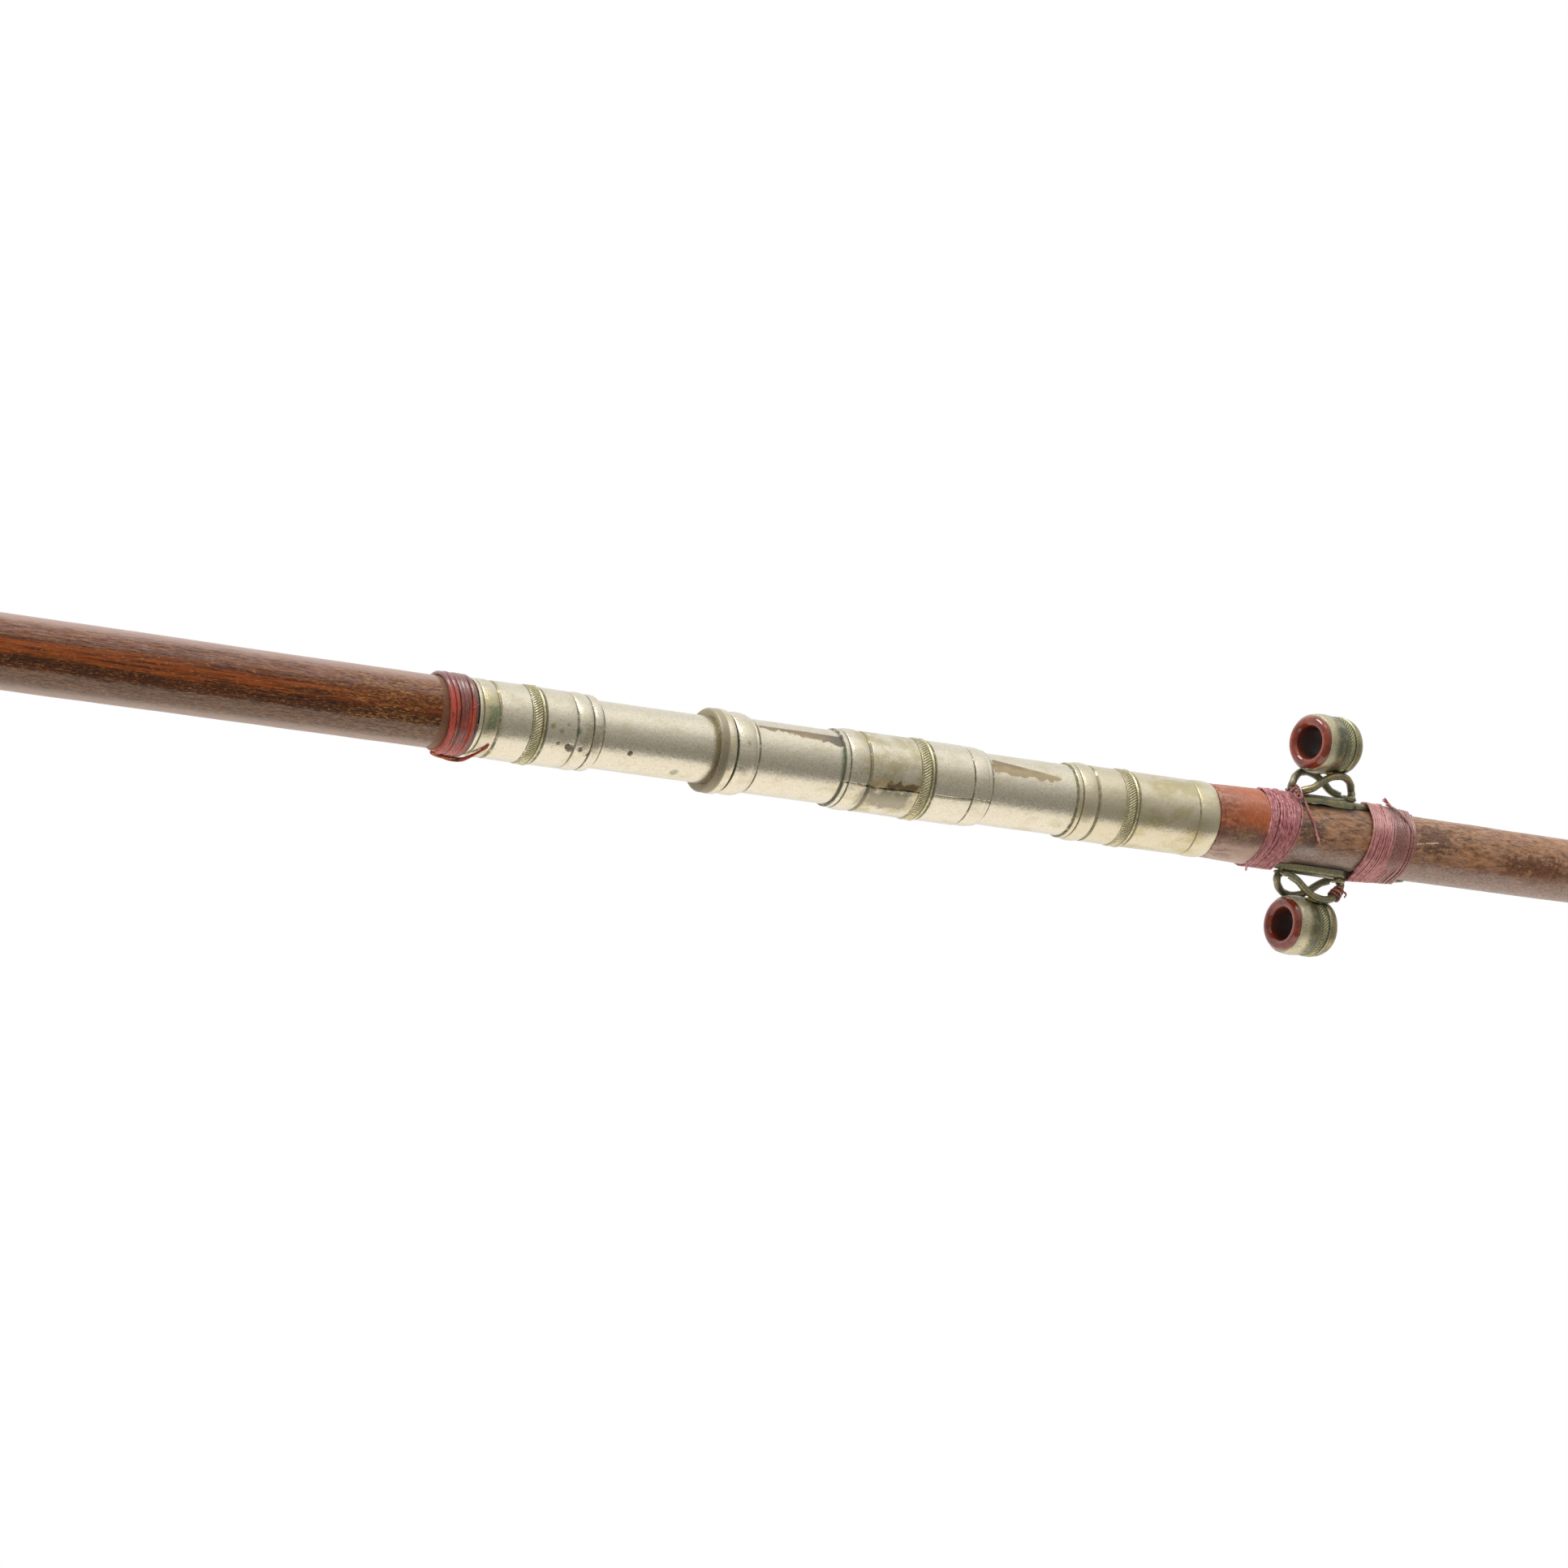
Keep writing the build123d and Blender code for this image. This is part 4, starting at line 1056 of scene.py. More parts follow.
REAR_BODY = 9.1
outer = [
    *offsets(rear_low, REAR_BODY, (0, -0.25), (0.15, -0.1), (1.0, -0.08), (1.2, -0.25)),
    *crown(rear_low + 1.3, rear_low + 5.5, REAR_BODY - 0.36, 0.64),
    *offsets(rear_low, REAR_BODY, (5.75, -0.32), (6.0, -0.04), (6.4, 0)),
    *ring_seat("rear_sleeve_milled_ring", REAR_BODY),
    *offsets(rear_high, REAR_BODY, (-6.2, -0.03), (-5.9, -0.34)),
    *crown(rear_high - 5.7, rear_high - 0.3, REAR_BODY - 0.3, 0.42),
    (rear_high, REAR_BODY - 0.5),
]
turned(
    "rear_sleeve_shell", densify(outer, 2), [(rear_low, REAR_TUBE_RADIUS), (rear_high, REAR_TUBE_RADIUS)],
    silver, TIP, ["rear_sleeve"], shape=worn_metal(43),
)

# ---- Milled rings --------------------------------------------------------------------------------
# A rope of slanted ridges, a little hollow in the middle, and a smooth bead beside it.
RIDGES = 86
RIDGE_SEGMENTS = RIDGES * 9
ROPE = (0.2, 2.5)
BEAD = (2.62, 3.18)


def row_height(share, row):
    """How high a row of milling stands at a share of the ring's width, 0 to 1."""
    inside = np.clip((share - row[0]) / (row[1] - row[0]), 0, 1)
    return np.sin(inside * pi) ** 0.6


def milling(
    low, high, base, height, ridges, climb=0.67, rope=ROPE, bead=BEAD, full=3.4, hollow=0.22, flat=0.55,
):
    """Ridges that climb round the ring by so many mm per mm along it."""

    def shape(station, angle, radius, outside):
        local = (station - low) / (high - low) * full
        lift = row_height(local, rope)
        middle = (rope[0] + rope[1]) / 2
        dip = 1 - hollow * np.exp(-(((local - middle) / 0.42) ** 2))
        wave = 0.5 + 0.5 * np.cos((angle - (local - middle) * climb / base) * ridges)
        wear = 0.8 + 0.2 * ripple(station, angle, ridges, 7, 6)
        ridge = np.where(lift > 0, wave**0.8 * lift * dip, flat)
        top = lift * dip * (0.45 + 0.55 * wave**0.8 * wear)
        smooth = row_height(local, bead)
        ridge = np.where(smooth > 0, 0.4 + 0.6 * smooth, ridge)
        top = np.where(smooth > 0, smooth * 0.9, top)
        radius = np.where(outside > 0, base + height * np.clip(top, 0, 1), radius)
        return radius, {"ridge": np.where(outside > 0, ridge, 0)}

    return shape


for node, body, seat in (
    ("butt_sleeve_milled_ring", BUTT, BUTT_BODY), ("middle_sleeve_milled_ring", TIP, MIDDLE_BODY),
    ("rear_sleeve_milled_ring", TIP, REAR_BODY),
):
    low, high = span(node)
    top = radius_of(node)
    stations = np.linspace(low, high, 40)
    turned(
        node + "_milling", [(station, seat - 0.1) for station in stations],
        [(low, seat - SLEEVE_SEAT), (high, seat - SLEEVE_SEAT)], milled_silver, body, [node],
        segments=RIDGE_SEGMENTS, shape=milling(low, high, seat - 0.12, top - seat + 0.12, RIDGES),
        sharp=None,
    )

# ---- Pins ----------------------------------------------------------------------------------------
PIN_ANGLE = -24
PIN_COLUMNS = 28
for node, station, top in (("butt_sleeve_pin", 198.3, 9.11), ("slide_tube_pin", 215.1, 7.955)):
    away = Vector((0, -cos(radians(PIN_ANGLE)), sin(radians(PIN_ANGLE))))
    across = Vector((1, 0, 0))
    beside = away.cross(across)
    points = []
    # Depth along the pin and the half width there: a straight shank and a rubbed, slightly domed head.
    rows = [(5.4, 0.74), (top - 0.1, 0.74), (top - 0.015, 0.66), (top, 0.5), (top + 0.01, 0.15)]
    for depth, reach in rows:
        for column in range(PIN_COLUMNS):
            turn = 2 * pi * column / PIN_COLUMNS
            points.append(
                Vector((station, 0, 0)) + away * depth + (across * cos(turn) + beside * sin(turn)) * reach
            )
    make_object(node + "_head", points, capped_faces(len(rows), PIN_COLUMNS), pin_look, BUTT, [node])


# ---- Thread windings -----------------------------------------------------------------------------
def hull_radius(angle, circle, crest, half_width):
    """Distance from the axis of a thread pulled over a round cane and a raised foot on each side of it."""
    lean = np.linspace(0, 2 * pi, 720, endpoint=False)
    corners = np.maximum(0, half_width * np.abs(np.cos(lean)) + crest * np.abs(np.sin(lean)))
    reach = np.maximum(circle, corners)
    facing = np.cos(angle - lean)
    return np.min(np.where(facing > 0.25, reach / np.maximum(facing, 0.25), 1e9))


def winding(
    low, high, turns, surface, thread_radius, slant_low, slant_high, per_turn=120, start=0.0, uneven=0.12,
    seed=1,
):
    """A helix of side-by-side turns whose plane leans along the rod. Angles run up from the -Y side."""
    draw = np.random.default_rng(seed)
    count = int(turns * per_turn)
    shifts = draw.normal(0, uneven * (high - low) / turns, int(turns) + 3)
    lifts = draw.uniform(0, uneven, int(turns) + 3)
    path = []
    for index in range(count + 1):
        turn = index / per_turn
        share = turn / turns
        angle = start + 2 * pi * turn
        whole = int(turn)
        part = turn - whole
        shift = shifts[whole] * (1 - part) + shifts[whole + 1] * part
        lift = lifts[whole] * (1 - part) + lifts[whole + 1] * part
        slant = slant_low + (slant_high - slant_low) * share
        station = low + (high - low) * share + slant * sin(angle) + shift
        radius = surface(station, angle) + thread_radius * (1 + lift)
        path.append((station, -radius * cos(angle), radius * sin(angle)))
    return path


RED_THREAD = 0.56
PINK_THREAD = 0.28
TAIL_SEAT = 8.5
whip_low, whip_high = span("butt_whipping")
strand = winding(
    whip_low + 0.6, whip_high - 0.3, 6.2, lambda station, angle: CANE_NECK_RADIUS, RED_THREAD, -1.0, -0.1,
    uneven=0.13, seed=4, start=-1.4,
)
steps = np.arange(len(strand))
tube(
    "butt_whipping_thread", strand,
    RED_THREAD * (1 + 0.1 * np.sin(steps * 0.083) + 0.07 * np.sin(steps * 0.031 + 1)), red_thread, BUTT,
    ["butt_whipping"], sides=36, plies=9, ply_pitch=26, relief=0.1,
)
turned(
    "butt_whipping_varnish",
    [(whip_low + 0.7, 8.75), (whip_low + 1.1, 8.95), (whip_high - 1.2, 8.95), (whip_high - 0.2, 8.9)],
    [(whip_low + 0.7, CANE_NECK_RADIUS), (whip_high - 0.2, CANE_NECK_RADIUS)], red_thread, BUTT,
    shape=uneven_cane(45),
)
tail_low, tail_high = span("tail_winding")
tail_grow = 0.4 / (tail_high - tail_low)


def tail_surface(station, angle):
    return TAIL_SEAT + 0.08 + tail_grow * (station - tail_low)


tail = winding(
    tail_low + 0.15, tail_high - 0.1, 49, tail_surface, 0.16, 0.0, 0.0, per_turn=96, uneven=0.05, seed=6,
)
tube(
    "tail_winding_thread", tail, 0.172, tail_thread, TIP, ["tail_winding"], sides=6, plies=2, ply_pitch=0.9,
)
turned(
    "tail_winding_bed", [(tail_low, 8.75), (tail_high, 9.1)], [(tail_low, TAIL_SEAT), (tail_high, TAIL_SEAT)],
    tail_thread, TIP,
)
near_low, near_high = span("guide_whipping_butt_side")


def near_surface(station, angle):
    """What the near whipping is wound on: cane, guide feet, and the end of the tail winding."""
    circle = 8.1 + 1.05 * min(1, max(0, (tail_high + 1.5 - station) / 2.5))
    return hull_radius(angle, circle, 9.1, 1.3)


def far_surface(station, angle):
    """What the far whipping is wound on: cane and the guide feet's falling tips."""
    share = min(1, max(0, (station - far_low) / (far_high - far_low)))
    return hull_radius(angle, 7.95, 9.3 - 0.9 * share, 1.3)


def winding_bed(name, low, high, surface, slant_low, slant_high, material, lump=None):
    """A thin dark skin of varnish and fluff under a winding, seen between its turns, where its darkness also
    stands for painted shade.
    """

    def shape(station, angle, radius, outside):
        share = (station - low) / (high - low)
        lean = station + (slant_low + (slant_high - slant_low) * share) * np.sin(angle)
        wrapped = np.vectorize(surface)(lean, angle)
        thickness = 0.14 + (lump(station, angle) if lump else 0)
        station[:] = lean
        return wrapped + np.where(outside > 0, thickness, -0.12), {}

    stations = np.linspace(low, high, 40 if lump else 16)
    turned(
        name, [(station, 9) for station in stations], [(station, 8) for station in stations], material, TIP,
        shape=shape,
    )


def varnish_lump(station, angle):
    """Extra thickness where hardened varnish has filled the far whipping."""
    along = np.clip((station - far_low - 5.6) / 1.4, 0, 1) * np.clip((far_low + 11.6 - station) / 1.6, 0, 1)
    facing = (angle + pi) % (2 * pi) - pi
    around = np.clip((radians(52) - facing) / 0.35, 0, 1) * np.clip((facing + radians(50)) / 0.35, 0, 1)
    return 0.46 * np.sqrt(along * around) + 0.03 * ripple(station, angle, 77, 9, 3)


tube(
    "near_guide_whipping_thread",
    winding(
        near_low - 0.4, near_high - 1.0, 15.4, near_surface, PINK_THREAD, 1.5, 2.1, uneven=0.3, seed=8,
        start=-1.2,
    ),
    PINK_THREAD, pink_thread, TIP, ["guide_whipping_butt_side"], plies=2, ply_pitch=2.1,
)
winding_bed("near_whipping_bed", near_low - 0.1, near_high - 1.4, near_surface, 1.5, 2.1, bed_look)
tube(
    "far_guide_whipping_thread",
    winding(
        far_low + 0.6, far_high - 1.2, 20.6, far_surface, PINK_THREAD, 1.6, 0.7, uneven=0.3, seed=10,
        start=-1.0,
    ),
    PINK_THREAD, pink_thread, TIP, ["guide_whipping_tip_side"], plies=2, ply_pitch=2.1,
)
winding_bed(
    "far_whipping_bed", far_low + 0.9, far_high - 1.6, far_surface, 1.6, 0.7, varnished_pink, varnish_lump,
)
for name, surface, low, high, seed in (
    ("near", near_surface, near_low + 0.6, near_high - 2.4, 3),
    ("far", far_surface, far_low + 1.2, far_low + 7.4, 5),
):
    draw = np.random.default_rng(seed)
    for index in range(7):
        start, drift = draw.uniform(low, high), draw.uniform(-0.9, 0.9)
        first, sweep = draw.uniform(-1.4, 0.2), draw.uniform(1.2, 2.4)
        turns = np.linspace(0, 1, 60)
        angles = first + sweep * turns
        lean = 1.5 * np.sin(angles)
        stations = start + drift * turns + lean
        lift = 0.52 + 0.14 * np.sin(pi * turns) - 0.35 * (np.cos(pi * turns) ** 8)
        path = []
        for station, angle, up in zip(stations, angles, lift):
            radius = surface(station, angle) + up
            path.append((station, -radius * cos(angle), radius * sin(angle)))
        tube(
            f"{name}_crossing_strand_{index}", path, 0.24, pink_thread, TIP, plies=2, ply_pitch=2.1,
            ends=0.4,
        )


def on_rod(station, angle, radius):
    """A point at a station, an angle up from the -Y side, and a distance from the axis."""
    return (station, -radius * cos(radians(angle)), radius * sin(radians(angle)))


def laid(*corners):
    """A thread's corners on the rod, from stations, angles and distances."""
    return [on_rod(*corner) for corner in corners]


def loose(name, thickness, *corners, material=pink_thread, body=TIP):
    """A short free length of thread, from corners laid on the rod."""
    path = smooth_path(laid(*corners), 10)
    tube(name, path, thickness, material, body, plies=2, ply_pitch=1.7, ends=0.6)


loose(
    "near_loose_end", 0.28, (397.4, 84, 10.2), (398.6, 66, 9.6), (399.6, 44, 8.3), (400.6, 22, 8.1),
    (401.9, -5, 8.15),
)
loose(
    "near_knot_loop", 0.3, (395.6, 74, 10.0), (397.4, 80, 10.9), (398.5, 74, 10.6), (398.2, 64, 9.9),
    (396.8, 60, 9.6), (396.3, 70, 10.2),
)
loose(
    "near_knot_wrap", 0.28, (397.0, 68, 9.6), (398.6, 78, 10.3), (398.9, 88, 11.2), (397.6, 92, 11.5),
    (396.7, 84, 10.4),
)
loose(
    "far_top_end", 0.26, (429.6, -6, 8.35), (429.5, 12, 8.4), (428.8, 32, 8.6), (427.7, 52, 8.95),
    (426.2, 70, 9.35), (424.6, 86, 9.9),
)
loose(
    "far_top_end_two", 0.22, (429.0, 20, 8.5), (428.1, 38, 8.75), (427.0, 56, 9.1), (425.7, 72, 9.45),
    (424.2, 86, 9.85),
)
loose("near_bottom_stub", 0.28, (386.6, -72, 9.7), (387.6, -86, 10.0), (388.6, -95, 10.5))
loose(
    "red_upper_stub", 0.2, (172.6, 12, 9.5), (173.3, 15, 9.65), (174.0, 19, 9.6), material=red_thread,
    body=BUTT,
)


def frayed(name, root, direction, width, length, count, spread, material, body, radius=0.07):
    """A bundle of fine, nearly parallel fibres at a thread's cut end, spread over a width vector."""
    draw = np.random.default_rng(len(name) * 7)
    direction = np.array(direction, float) / np.linalg.norm(direction)
    for index in range(count):
        lean = draw.normal(0, spread, 3)
        bend = draw.normal(0, spread, 3)
        reach = length * draw.uniform(0.75, 1.05)
        foot = np.array(root) + np.array(width) * draw.uniform(-1, 1)
        corners = []
        for share in (0, 0.35, 0.7, 1.0):
            aim = direction * share + lean * share * 0.8 + bend * share**2 * 0.7
            corners.append(foot + aim * reach)
        tube(f"{name}_{index}", smooth_path(corners, 5), radius, material, body, sides=5, ends=0.4)


def ribbon(name, corners, width, count, material, radius, seed):
    """A flattened thread end: fibres side by side along one path, each wandering a little."""
    draw = np.random.default_rng(seed)
    for index in range(count):
        aside = np.array(width) * (2 * index / (count - 1) - 1)
        strand = []
        for corner in corners:
            strand.append(np.array(corner) + aside * draw.uniform(0.8, 1.2) + draw.normal(0, 0.05, 3))
        tube(f"{name}_{index}", smooth_path(strand, 8), radius, material, BUTT, sides=6, ends=0.5)


LOWER_END = laid(
    (171.0, -96, 9.75), (173.4, -92, 10.05), (175.4, -78, 9.95), (177.0, -56, 9.6), (178.7, -39, 9.5),
)
ribbon("red_lower_end", LOWER_END, (0.1, -0.15, 0.4), 7, red_thread, 0.16, 12)
STUB = laid((168.6, -96, 9.2), (170.2, -98, 9.8), (172.0, -94, 10.0), (173.6, -86, 9.9))
ribbon("red_chunk", STUB, (0.05, -0.75, -0.1), 9, cut_fibre, 0.17, 14)
ribbon("red_chunk_top", STUB, (0.05, -0.6, 0.25), 6, red_thread, 0.17, 15)
frayed(
    "near_fray", on_rod(401.6, 0, 8.15), (0.45, -0.1, -1), (0.2, 0, 0.05), 1.3, 14, 0.16, frayed_pink, TIP,
    0.09,
)
frayed(
    "far_fray", on_rod(425.2, 80, 9.7), (-1, 0.1, 0.6), (0.15, 0.1, 0.15), 2.6, 18, 0.12, frayed_pink, TIP,
    0.09,
)
frayed("knot_fray", on_rod(397.8, 84, 10.9), (0.3, -0.3, 1), (0.1, 0, 0), 0.9, 7, 0.4, frayed_pink, TIP)
frayed(
    "red_fray", on_rod(172.2, -88, 9.75), (-1, -0.1, -0.06), (0.1, 0.5, 0.16), 2.7, 22, 0.05, cut_fibre,
    BUTT, 0.13,
)
frayed(
    "red_fray_two", on_rod(171.6, -84, 9.1), (-1, -0.35, 0.16), (0.1, 0.4, 0.14), 2.2, 14, 0.05, red_thread,
    BUTT, 0.12,
)
frayed(
    "red_hair", on_rod(173.2, 14, 9.5), (0.2, -0.7, 0.5), (0.3, 0, 0.2), 0.7, 5, 0.4, red_thread, BUTT,
    0.05,
)

# ---- Line guides ---------------------------------------------------------------------------------
FOOT_TOP = 9.86
# Station, half width and height of the top, from the foot's butt end to its tip end.
FOOT_SECTIONS = [
    (389.2, 0.5, 8.15), (390.5, 1.0, 8.7), (393, 1.3, 8.95), (396.6, 1.35, 9.1), (397.6, 1.6, 9.5),
    (398.6, 2.2, 9.8), (400.5, 2.5, 9.84), (406, 2.55, 9.82), (412, 2.5, 9.84), (414.2, 2.2, 9.8),
    (415.3, 1.6, 9.45), (416.6, 1.35, 9.2), (424, 1.3, 8.95), (430, 1.1, 8.6), (432.2, 0.6, 8.25),
]
SECTION_POINTS = 16


def guide_foot(name, side, lift):
    """A hammered strip: rounded on top, hollow below, with narrow tips under the whippings."""
    line = np.array(smooth_path(FOOT_SECTIONS, 5))
    points = []
    for station, half, top in line:
        floor = 7.75 + lift * max(0, 1 - abs(station - 404.5) / 4) ** 0.5
        for index in range(SECTION_POINTS):
            angle = pi * index / (SECTION_POINTS - 1)
            height = floor + (top - floor) * sin(angle) ** 0.45 - 0.05 * (half * cos(angle)) ** 2
            wave = 0.05 * sin(station * 2.1) + 0.04 * sin(station * 5.3 + 1)
            points.append((station, (half + wave) * cos(angle), side * height))
    faces = capped_faces(len(line), SECTION_POINTS)
    if side < 0:
        faces = [tuple(reversed(face)) for face in faces]
    make_object(f"{name}_guide_foot_strip", points, faces, bronze, TIP, [f"{name}_guide_foot"], sharp=50)


# Bell and bush, along the line's way through them and out from its axis.
BELL_FRONT, BELL_REAR = -6.25, 6.25
BELL_RING = (-0.3, 3.3)
BELL_RADIUS = 6.95
BELL_SEAT = 6.72
BELL_STEP = -4.6
BELL_BORE = 6.5
BELL_REAR_BORE = 5.0
BELL_RIDGES = 56  # how many slanting ridges the milled ring has
BUSH_FRONT, BUSH_BACK = -7.55, 6.0
BUSH_BORE = 3.8
BUSH_LIP = 1.35
WIRE = 0.925  # the bridge wires' radius


def bridge_corner(along, spread, height, side, yaw):
    """A point of a bridge wire, which twists with height from the foot's line to the bell's heading."""
    twist = yaw * min(1, (height - FOOT_TOP) / 1.4)
    return (
        GUIDE_STATION + along * cos(twist) - spread * sin(twist),
        along * sin(twist) + spread * cos(twist),
        side * height,
    )


def line_guide(name, side, lift):
    """Foot, two bridge wires, bell, milled ring and agate bush."""
    mount = mounts[f"{name}_line_ring"]
    front = Vector(mount["axis"]).normalized()
    rear = -front
    yaw = np.arctan2(rear.y, rear.x)
    place = Matrix.Translation(Vector(mount["pos_m"]) / MM) @ Matrix.Rotation(yaw, 4, "Z")
    guide_foot(name, side, lift)
    for hand, word in ((-1, "near"), (1, "far")):
        corners = [
            (-6.9, 1.5, FOOT_TOP + 0.4), (-5.4, 1.9, 11.3), (-3.2, 2.8, 13.2), (-0.9, 3.6, 14.6),
            (1.8, 3.9, 15.0), (4.6, 3.6, 14.6), (6.9, 2.9, 13.4), (8.2, 2.3, 12.0), (8.35, 1.9, 10.8),
            (7.6, 1.6, FOOT_TOP + 0.35),
        ]
        if hand > 0:
            corners = [(-along, spread, height) for along, spread, height in reversed(corners)]
        placed = [bridge_corner(along, hand * spread, height, side, yaw) for along, spread, height in corners]
        path = smooth_path(placed, 8)
        replaced = [f"{name}_guide_bridge"] if hand < 0 else []
        thickness = WIRE * (1 + 0.035 * np.sin(np.arange(len(path)) * 0.55 + hand))
        tube(f"{name}_bridge_wire_{word}", path, thickness, bronze, TIP, replaced, sides=18)
        for along in (-7.7, 7.7):
            centre = bridge_corner(along, hand * 1.5, FOOT_TOP + 0.1, side, yaw)
            blob(
                f"{name}_foot_solder_{word}_{'a' if along < 0 else 'b'}", centre, (1.5, 1.1, 0.75), bronze,
                TIP, int(40 + along + hand),
            )
        saddle = bridge_corner(0, hand * 3.2, 15.35, side, yaw)
        blob(f"{name}_bell_solder_{word}", saddle, (2.7, 0.95, 0.65), bronze, TIP, 60 + hand)
    body_from = BELL_FRONT + 0.4
    shoulder = BELL_RING[1] + 0.3
    seat = [(station, BELL_SEAT) for station in BELL_RING]
    outer = offsets(BELL_FRONT, BELL_RADIUS, (0, -0.33), (0.1, -0.13), (0.4, 0))
    outer += [
        (
            body_from + 5.2 * share, BELL_RADIUS + 0.25 * sin(pi * share),
        ) for share in np.linspace(0.1, 0.95, 10)
    ]
    outer += [(BELL_RING[0] - 0.35, BELL_RADIUS), *seat, (shoulder, BELL_RADIUS + 0.03)]
    for turn in np.linspace(0.15, 1, 9) * pi / 2:
        outer.append((shoulder + 2.6 * sin(turn), BELL_RADIUS + 0.03 - 1.65 * (1 - cos(turn))))
    step = [(BELL_STEP, BELL_BORE), (BELL_STEP, BELL_REAR_BORE)]
    bore = [(BELL_FRONT, BELL_BORE), *step, (BELL_REAR, BELL_REAR_BORE)]
    turned(
        f"{name}_bell_shell", outer, bore, bronze, TIP, [f"{name}_guide_bell"], place=place,
        shape=worn_metal(51 + side, 0.03),
    )
    stations = np.linspace(*BELL_RING, 44)
    turned(
        f"{name}_bell_milling", [(station, 6.9) for station in stations],
        seat, milled_bronze, TIP, [f"{name}_guide_milled_ring"],
        segments=480, place=place, sharp=None,
        shape=milling(
            *BELL_RING, BELL_SEAT + 0.06, 0.4, BELL_RIDGES, climb=0.9, rope=(0.85, 2.75), bead=(3.1, 3.45),
            full=3.6, hollow=0.1, flat=0.2,
        ),
    )
    middle = (BUSH_BORE + BELL_BORE) / 2
    half = (BELL_BORE - BUSH_BORE) / 2
    crest = BUSH_FRONT + BUSH_LIP
    outer = [(crest - BUSH_LIP * cos(turn), middle + half * sin(turn)) for turn in np.linspace(0, pi / 2, 14)]
    outer += [*step, (BUSH_BACK, BELL_REAR_BORE)]
    bore = [
        (crest - BUSH_LIP * cos(turn), middle - half * sin(turn)) for turn in np.linspace(0.12, pi / 2, 12)
    ]
    bore += [(BUSH_BACK, BUSH_BORE)]

    def rim(station, angle, radius, outside):
        depth = np.clip((station - BUSH_FRONT - 0.1) / 4.5, 0, 1) ** 0.7
        return radius, {"rim": np.where(outside > 0, 1, 1 - depth)}

    turned(
        f"{name}_agate_ring", outer, densify(bore, 1), agate, TIP, [f"{name}_guide_agate_bush"],
        place=place, shape=rim, sharp=60,
    )


line_guide("upper", 1, 0.35)
line_guide("lower", -1, 0.0)

# ---- Scrap of thread knotted on the lower bridge's near wire -------------------------------------
yaw = radians(11)
tie_start = Vector(bridge_corner(5.6, -3.3, 14.1, -1, yaw))
tie_end = Vector(bridge_corner(7.9, -2.4, 12.3, -1, yaw))
tie_axis = (tie_end - tie_start).normalized()
tie_side = tie_axis.cross(Vector((0, 0, 1))).normalized()
tie_up = tie_axis.cross(tie_side)
knot = []
KNOT_POINTS = 150
KNOT_PER_TURN = 30
for index in range(KNOT_POINTS):
    turn = index / KNOT_PER_TURN * 2 * pi
    share = 0.5 - 0.5 * cos(index / (KNOT_POINTS - 1) * 2.6 * pi)
    reach = WIRE + 0.32 + 0.16 * sin(index * 0.37)
    point = tie_start.lerp(tie_end, 0.1 + 0.8 * share) + (tie_side * cos(turn) + tie_up * sin(turn)) * reach
    knot.append(tuple(point))
tube(
    "lower_guide_knot", knot, 0.31, knot_thread, TIP, ["lower_guide_thread_tie"], plies=2, ply_pitch=1.6,
    ends=0.5,
)
tail = [
    tie_end + tie_side, tie_end + tie_side * 1.5 + Vector((0.5, -0.2, -0.7)),
    tie_end + tie_side * 1.3 + Vector((0.2, -0.4, -1.6)),
]
tube("lower_guide_knot_end", smooth_path(tail, 6), 0.22, knot_thread, TIP, plies=2, ply_pitch=1.5, ends=0.4)

# ---- Floor, light and camera ---------------------------------------------------------------------
# The floor is a glowing rectangle well below the rod, so that it throws light up and shows no shadow.
FLOOR_DROP = 0.30
FLOOR_NEAR, FLOOR_FAR, FLOOR_HALF_WIDTH = -0.25, 1.0, 0.30
floor_mesh = bpy.data.meshes.new("floor")
corners = [
    (FLOOR_NEAR, -FLOOR_HALF_WIDTH, -FLOOR_DROP), (FLOOR_FAR, -FLOOR_HALF_WIDTH, -FLOOR_DROP),
    (FLOOR_FAR, FLOOR_HALF_WIDTH, -FLOOR_DROP), (FLOOR_NEAR, FLOOR_HALF_WIDTH, -FLOOR_DROP),
]
floor_mesh.from_pydata(corners, [], [(0, 1, 2, 3)])
floor = bpy.data.objects.new("floor", floor_mesh)
bpy.context.scene.collection.objects.link(floor)
floor_material = bpy.data.materials.new("floor_white")
floor_material.use_nodes = True
floor_shader = floor_material.node_tree.nodes["Principled BSDF"]
floor_shader.inputs["Base Color"].default_value = (0.12, 0.12, 0.12, 1)
floor_shader.inputs["Roughness"].default_value = 0.9
floor_shader.inputs["Emission Color"].default_value = (1.0, 0.95, 0.89, 1)
floor_shader.inputs["Emission Strength"].default_value = 1.08
floor_mesh.materials.append(floor_material)

# Brightness of the studio's sky at a sine of the height above the horizon.
SKY = ((-1.0, 0.33), (-0.2, 0.33), (0.2, 0.45), (0.57, 0.68), (0.82, 1.15), (1.0, 1.3))
world = bpy.data.worlds.new("studio")
bpy.context.scene.world = world
world.use_nodes = True
tree = world.node_tree
tree.nodes.clear()


def world_node(kind, inputs=None, **settings):
    return add_node(tree, kind, inputs, **settings)


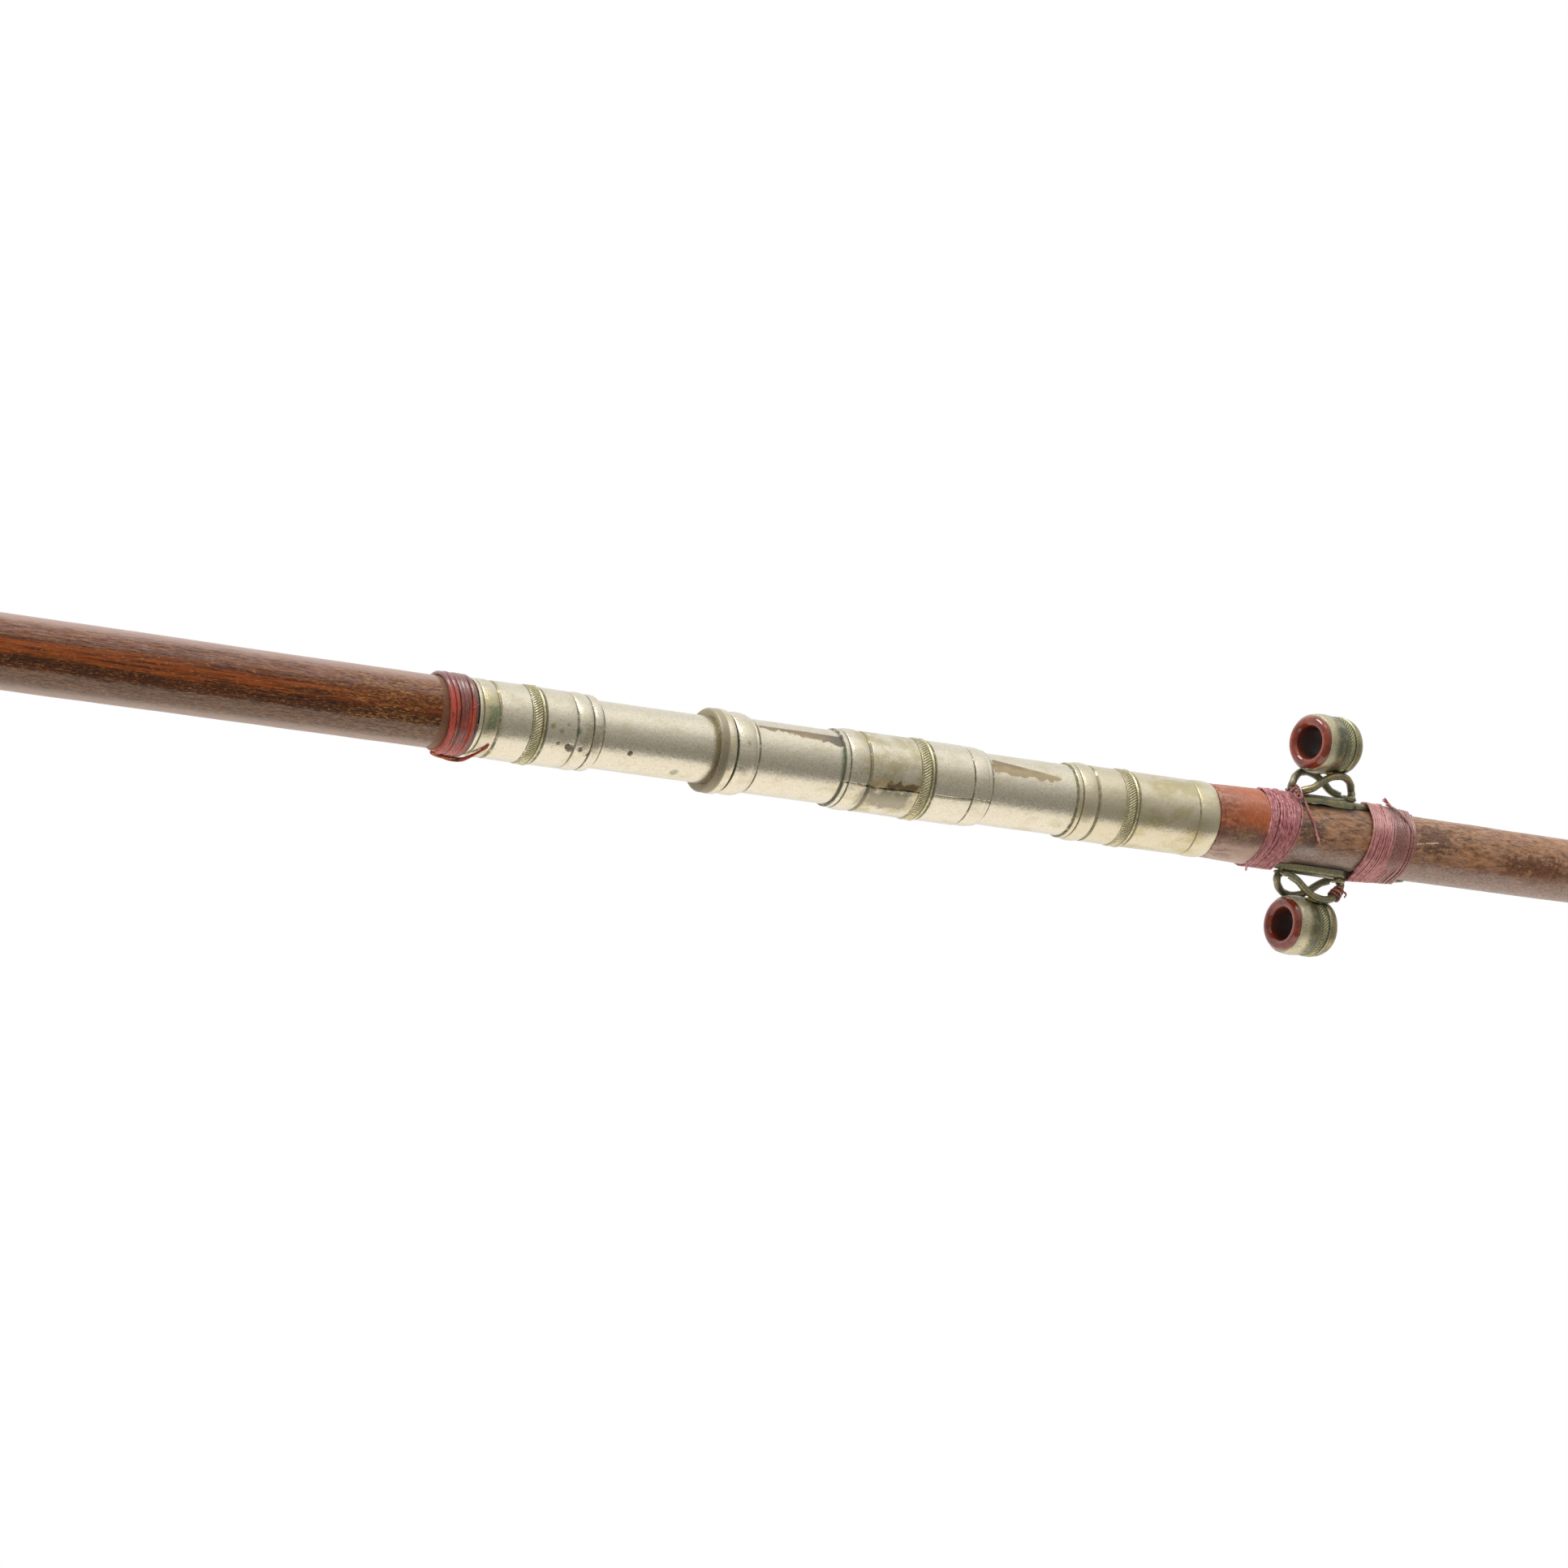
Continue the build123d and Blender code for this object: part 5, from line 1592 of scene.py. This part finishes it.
direction = world_node("TexCoord").outputs["Generated"]
axes = world_node("SeparateXYZ", {0: direction}).outputs
height = world_node("MapRange", {"Value": axes[2], "From Min": -1.0, "From Max": 1.0}).outputs[0]
sky = world_node("ValToRGB", {0: height})
stops = []
for sine, level in SKY:
    warmth = 0.13 * max(0, 1 - abs(sine))
    stops.append(((sine + 1) / 2, (level, level * (1 - warmth * 0.35), level * (1 - warmth), 1)))
fill_ramp(sky, stops)
behind = {"Value": axes[1], "From Min": 0.0, "From Max": 0.4}
backdrop = world_node("MapRange", behind, interpolation_type="SMOOTHSTEP").outputs[0]
toned = world_node("Mix", {0: backdrop, 6: sky.outputs[0], 7: (1, 1, 1, 1)}, data_type="RGBA").outputs[2]
studio = world_node("Background", {"Color": toned, "Strength": 1.0}).outputs[0]
plain = world_node("Background", {"Color": (1, 1, 1, 1), "Strength": 1.0}).outputs[0]
seen = world_node("LightPath").outputs["Is Camera Ray"]
shown = world_node("MixShader", {0: seen, 1: studio, 2: plain}).outputs[0]
world_node("OutputWorld", {0: shown})


def area_light(name, place, target, width, height, watts):
    data = bpy.data.lights.new(name, "AREA")
    data.shape = "RECTANGLE"
    data.size = width
    data.size_y = height
    data.energy = watts
    lamp = bpy.data.objects.new(name, data)
    lamp.location = place
    lamp.rotation_euler = (Vector(target) - Vector(place)).to_track_quat("-Z", "Y").to_euler()
    bpy.context.scene.collection.objects.link(lamp)


CENTRE = (0.26, 0, 0)
area_light("softbox", (0.18, -0.42, 1.05), CENTRE, 0.25, 0.18, 0.5)
area_light("top_fill", (-0.40, 0.10, 1.10), CENTRE, 0.5, 0.5, 8)
area_light("under_fill", (-0.35, -0.40, -0.95), CENTRE, 0.5, 0.5, 4)

# The camera looks at a point just below the rod's middle, turned about the vertical and then rolled.
AZIMUTH = radians(28.2)
ROLL = radians(7.92)
DISTANCE = 2.138
DROP = -0.0053
ahead = Vector((sin(AZIMUTH), cos(AZIMUTH), 0))
across = Vector((cos(AZIMUTH), -sin(AZIMUTH), 0))
up = Vector((0, 0, 1))
right = across * cos(ROLL) + up * sin(ROLL)
above = up * cos(ROLL) - across * sin(ROLL)
camera_data = bpy.data.cameras.new("camera")
camera_data.lens = 209.96
camera_data.sensor_width = 36
camera_data.clip_end = 50
camera = bpy.data.objects.new("camera", camera_data)
place = Vector((CENTRE[0], 0, DROP)) - ahead * DISTANCE
rotation = Matrix((right, above, -ahead)).transposed().to_4x4()
camera.matrix_world = Matrix.Translation(place) @ rotation
bpy.context.scene.collection.objects.link(camera)
bpy.context.scene.camera = camera
bpy.context.scene.view_settings.view_transform = "Standard"
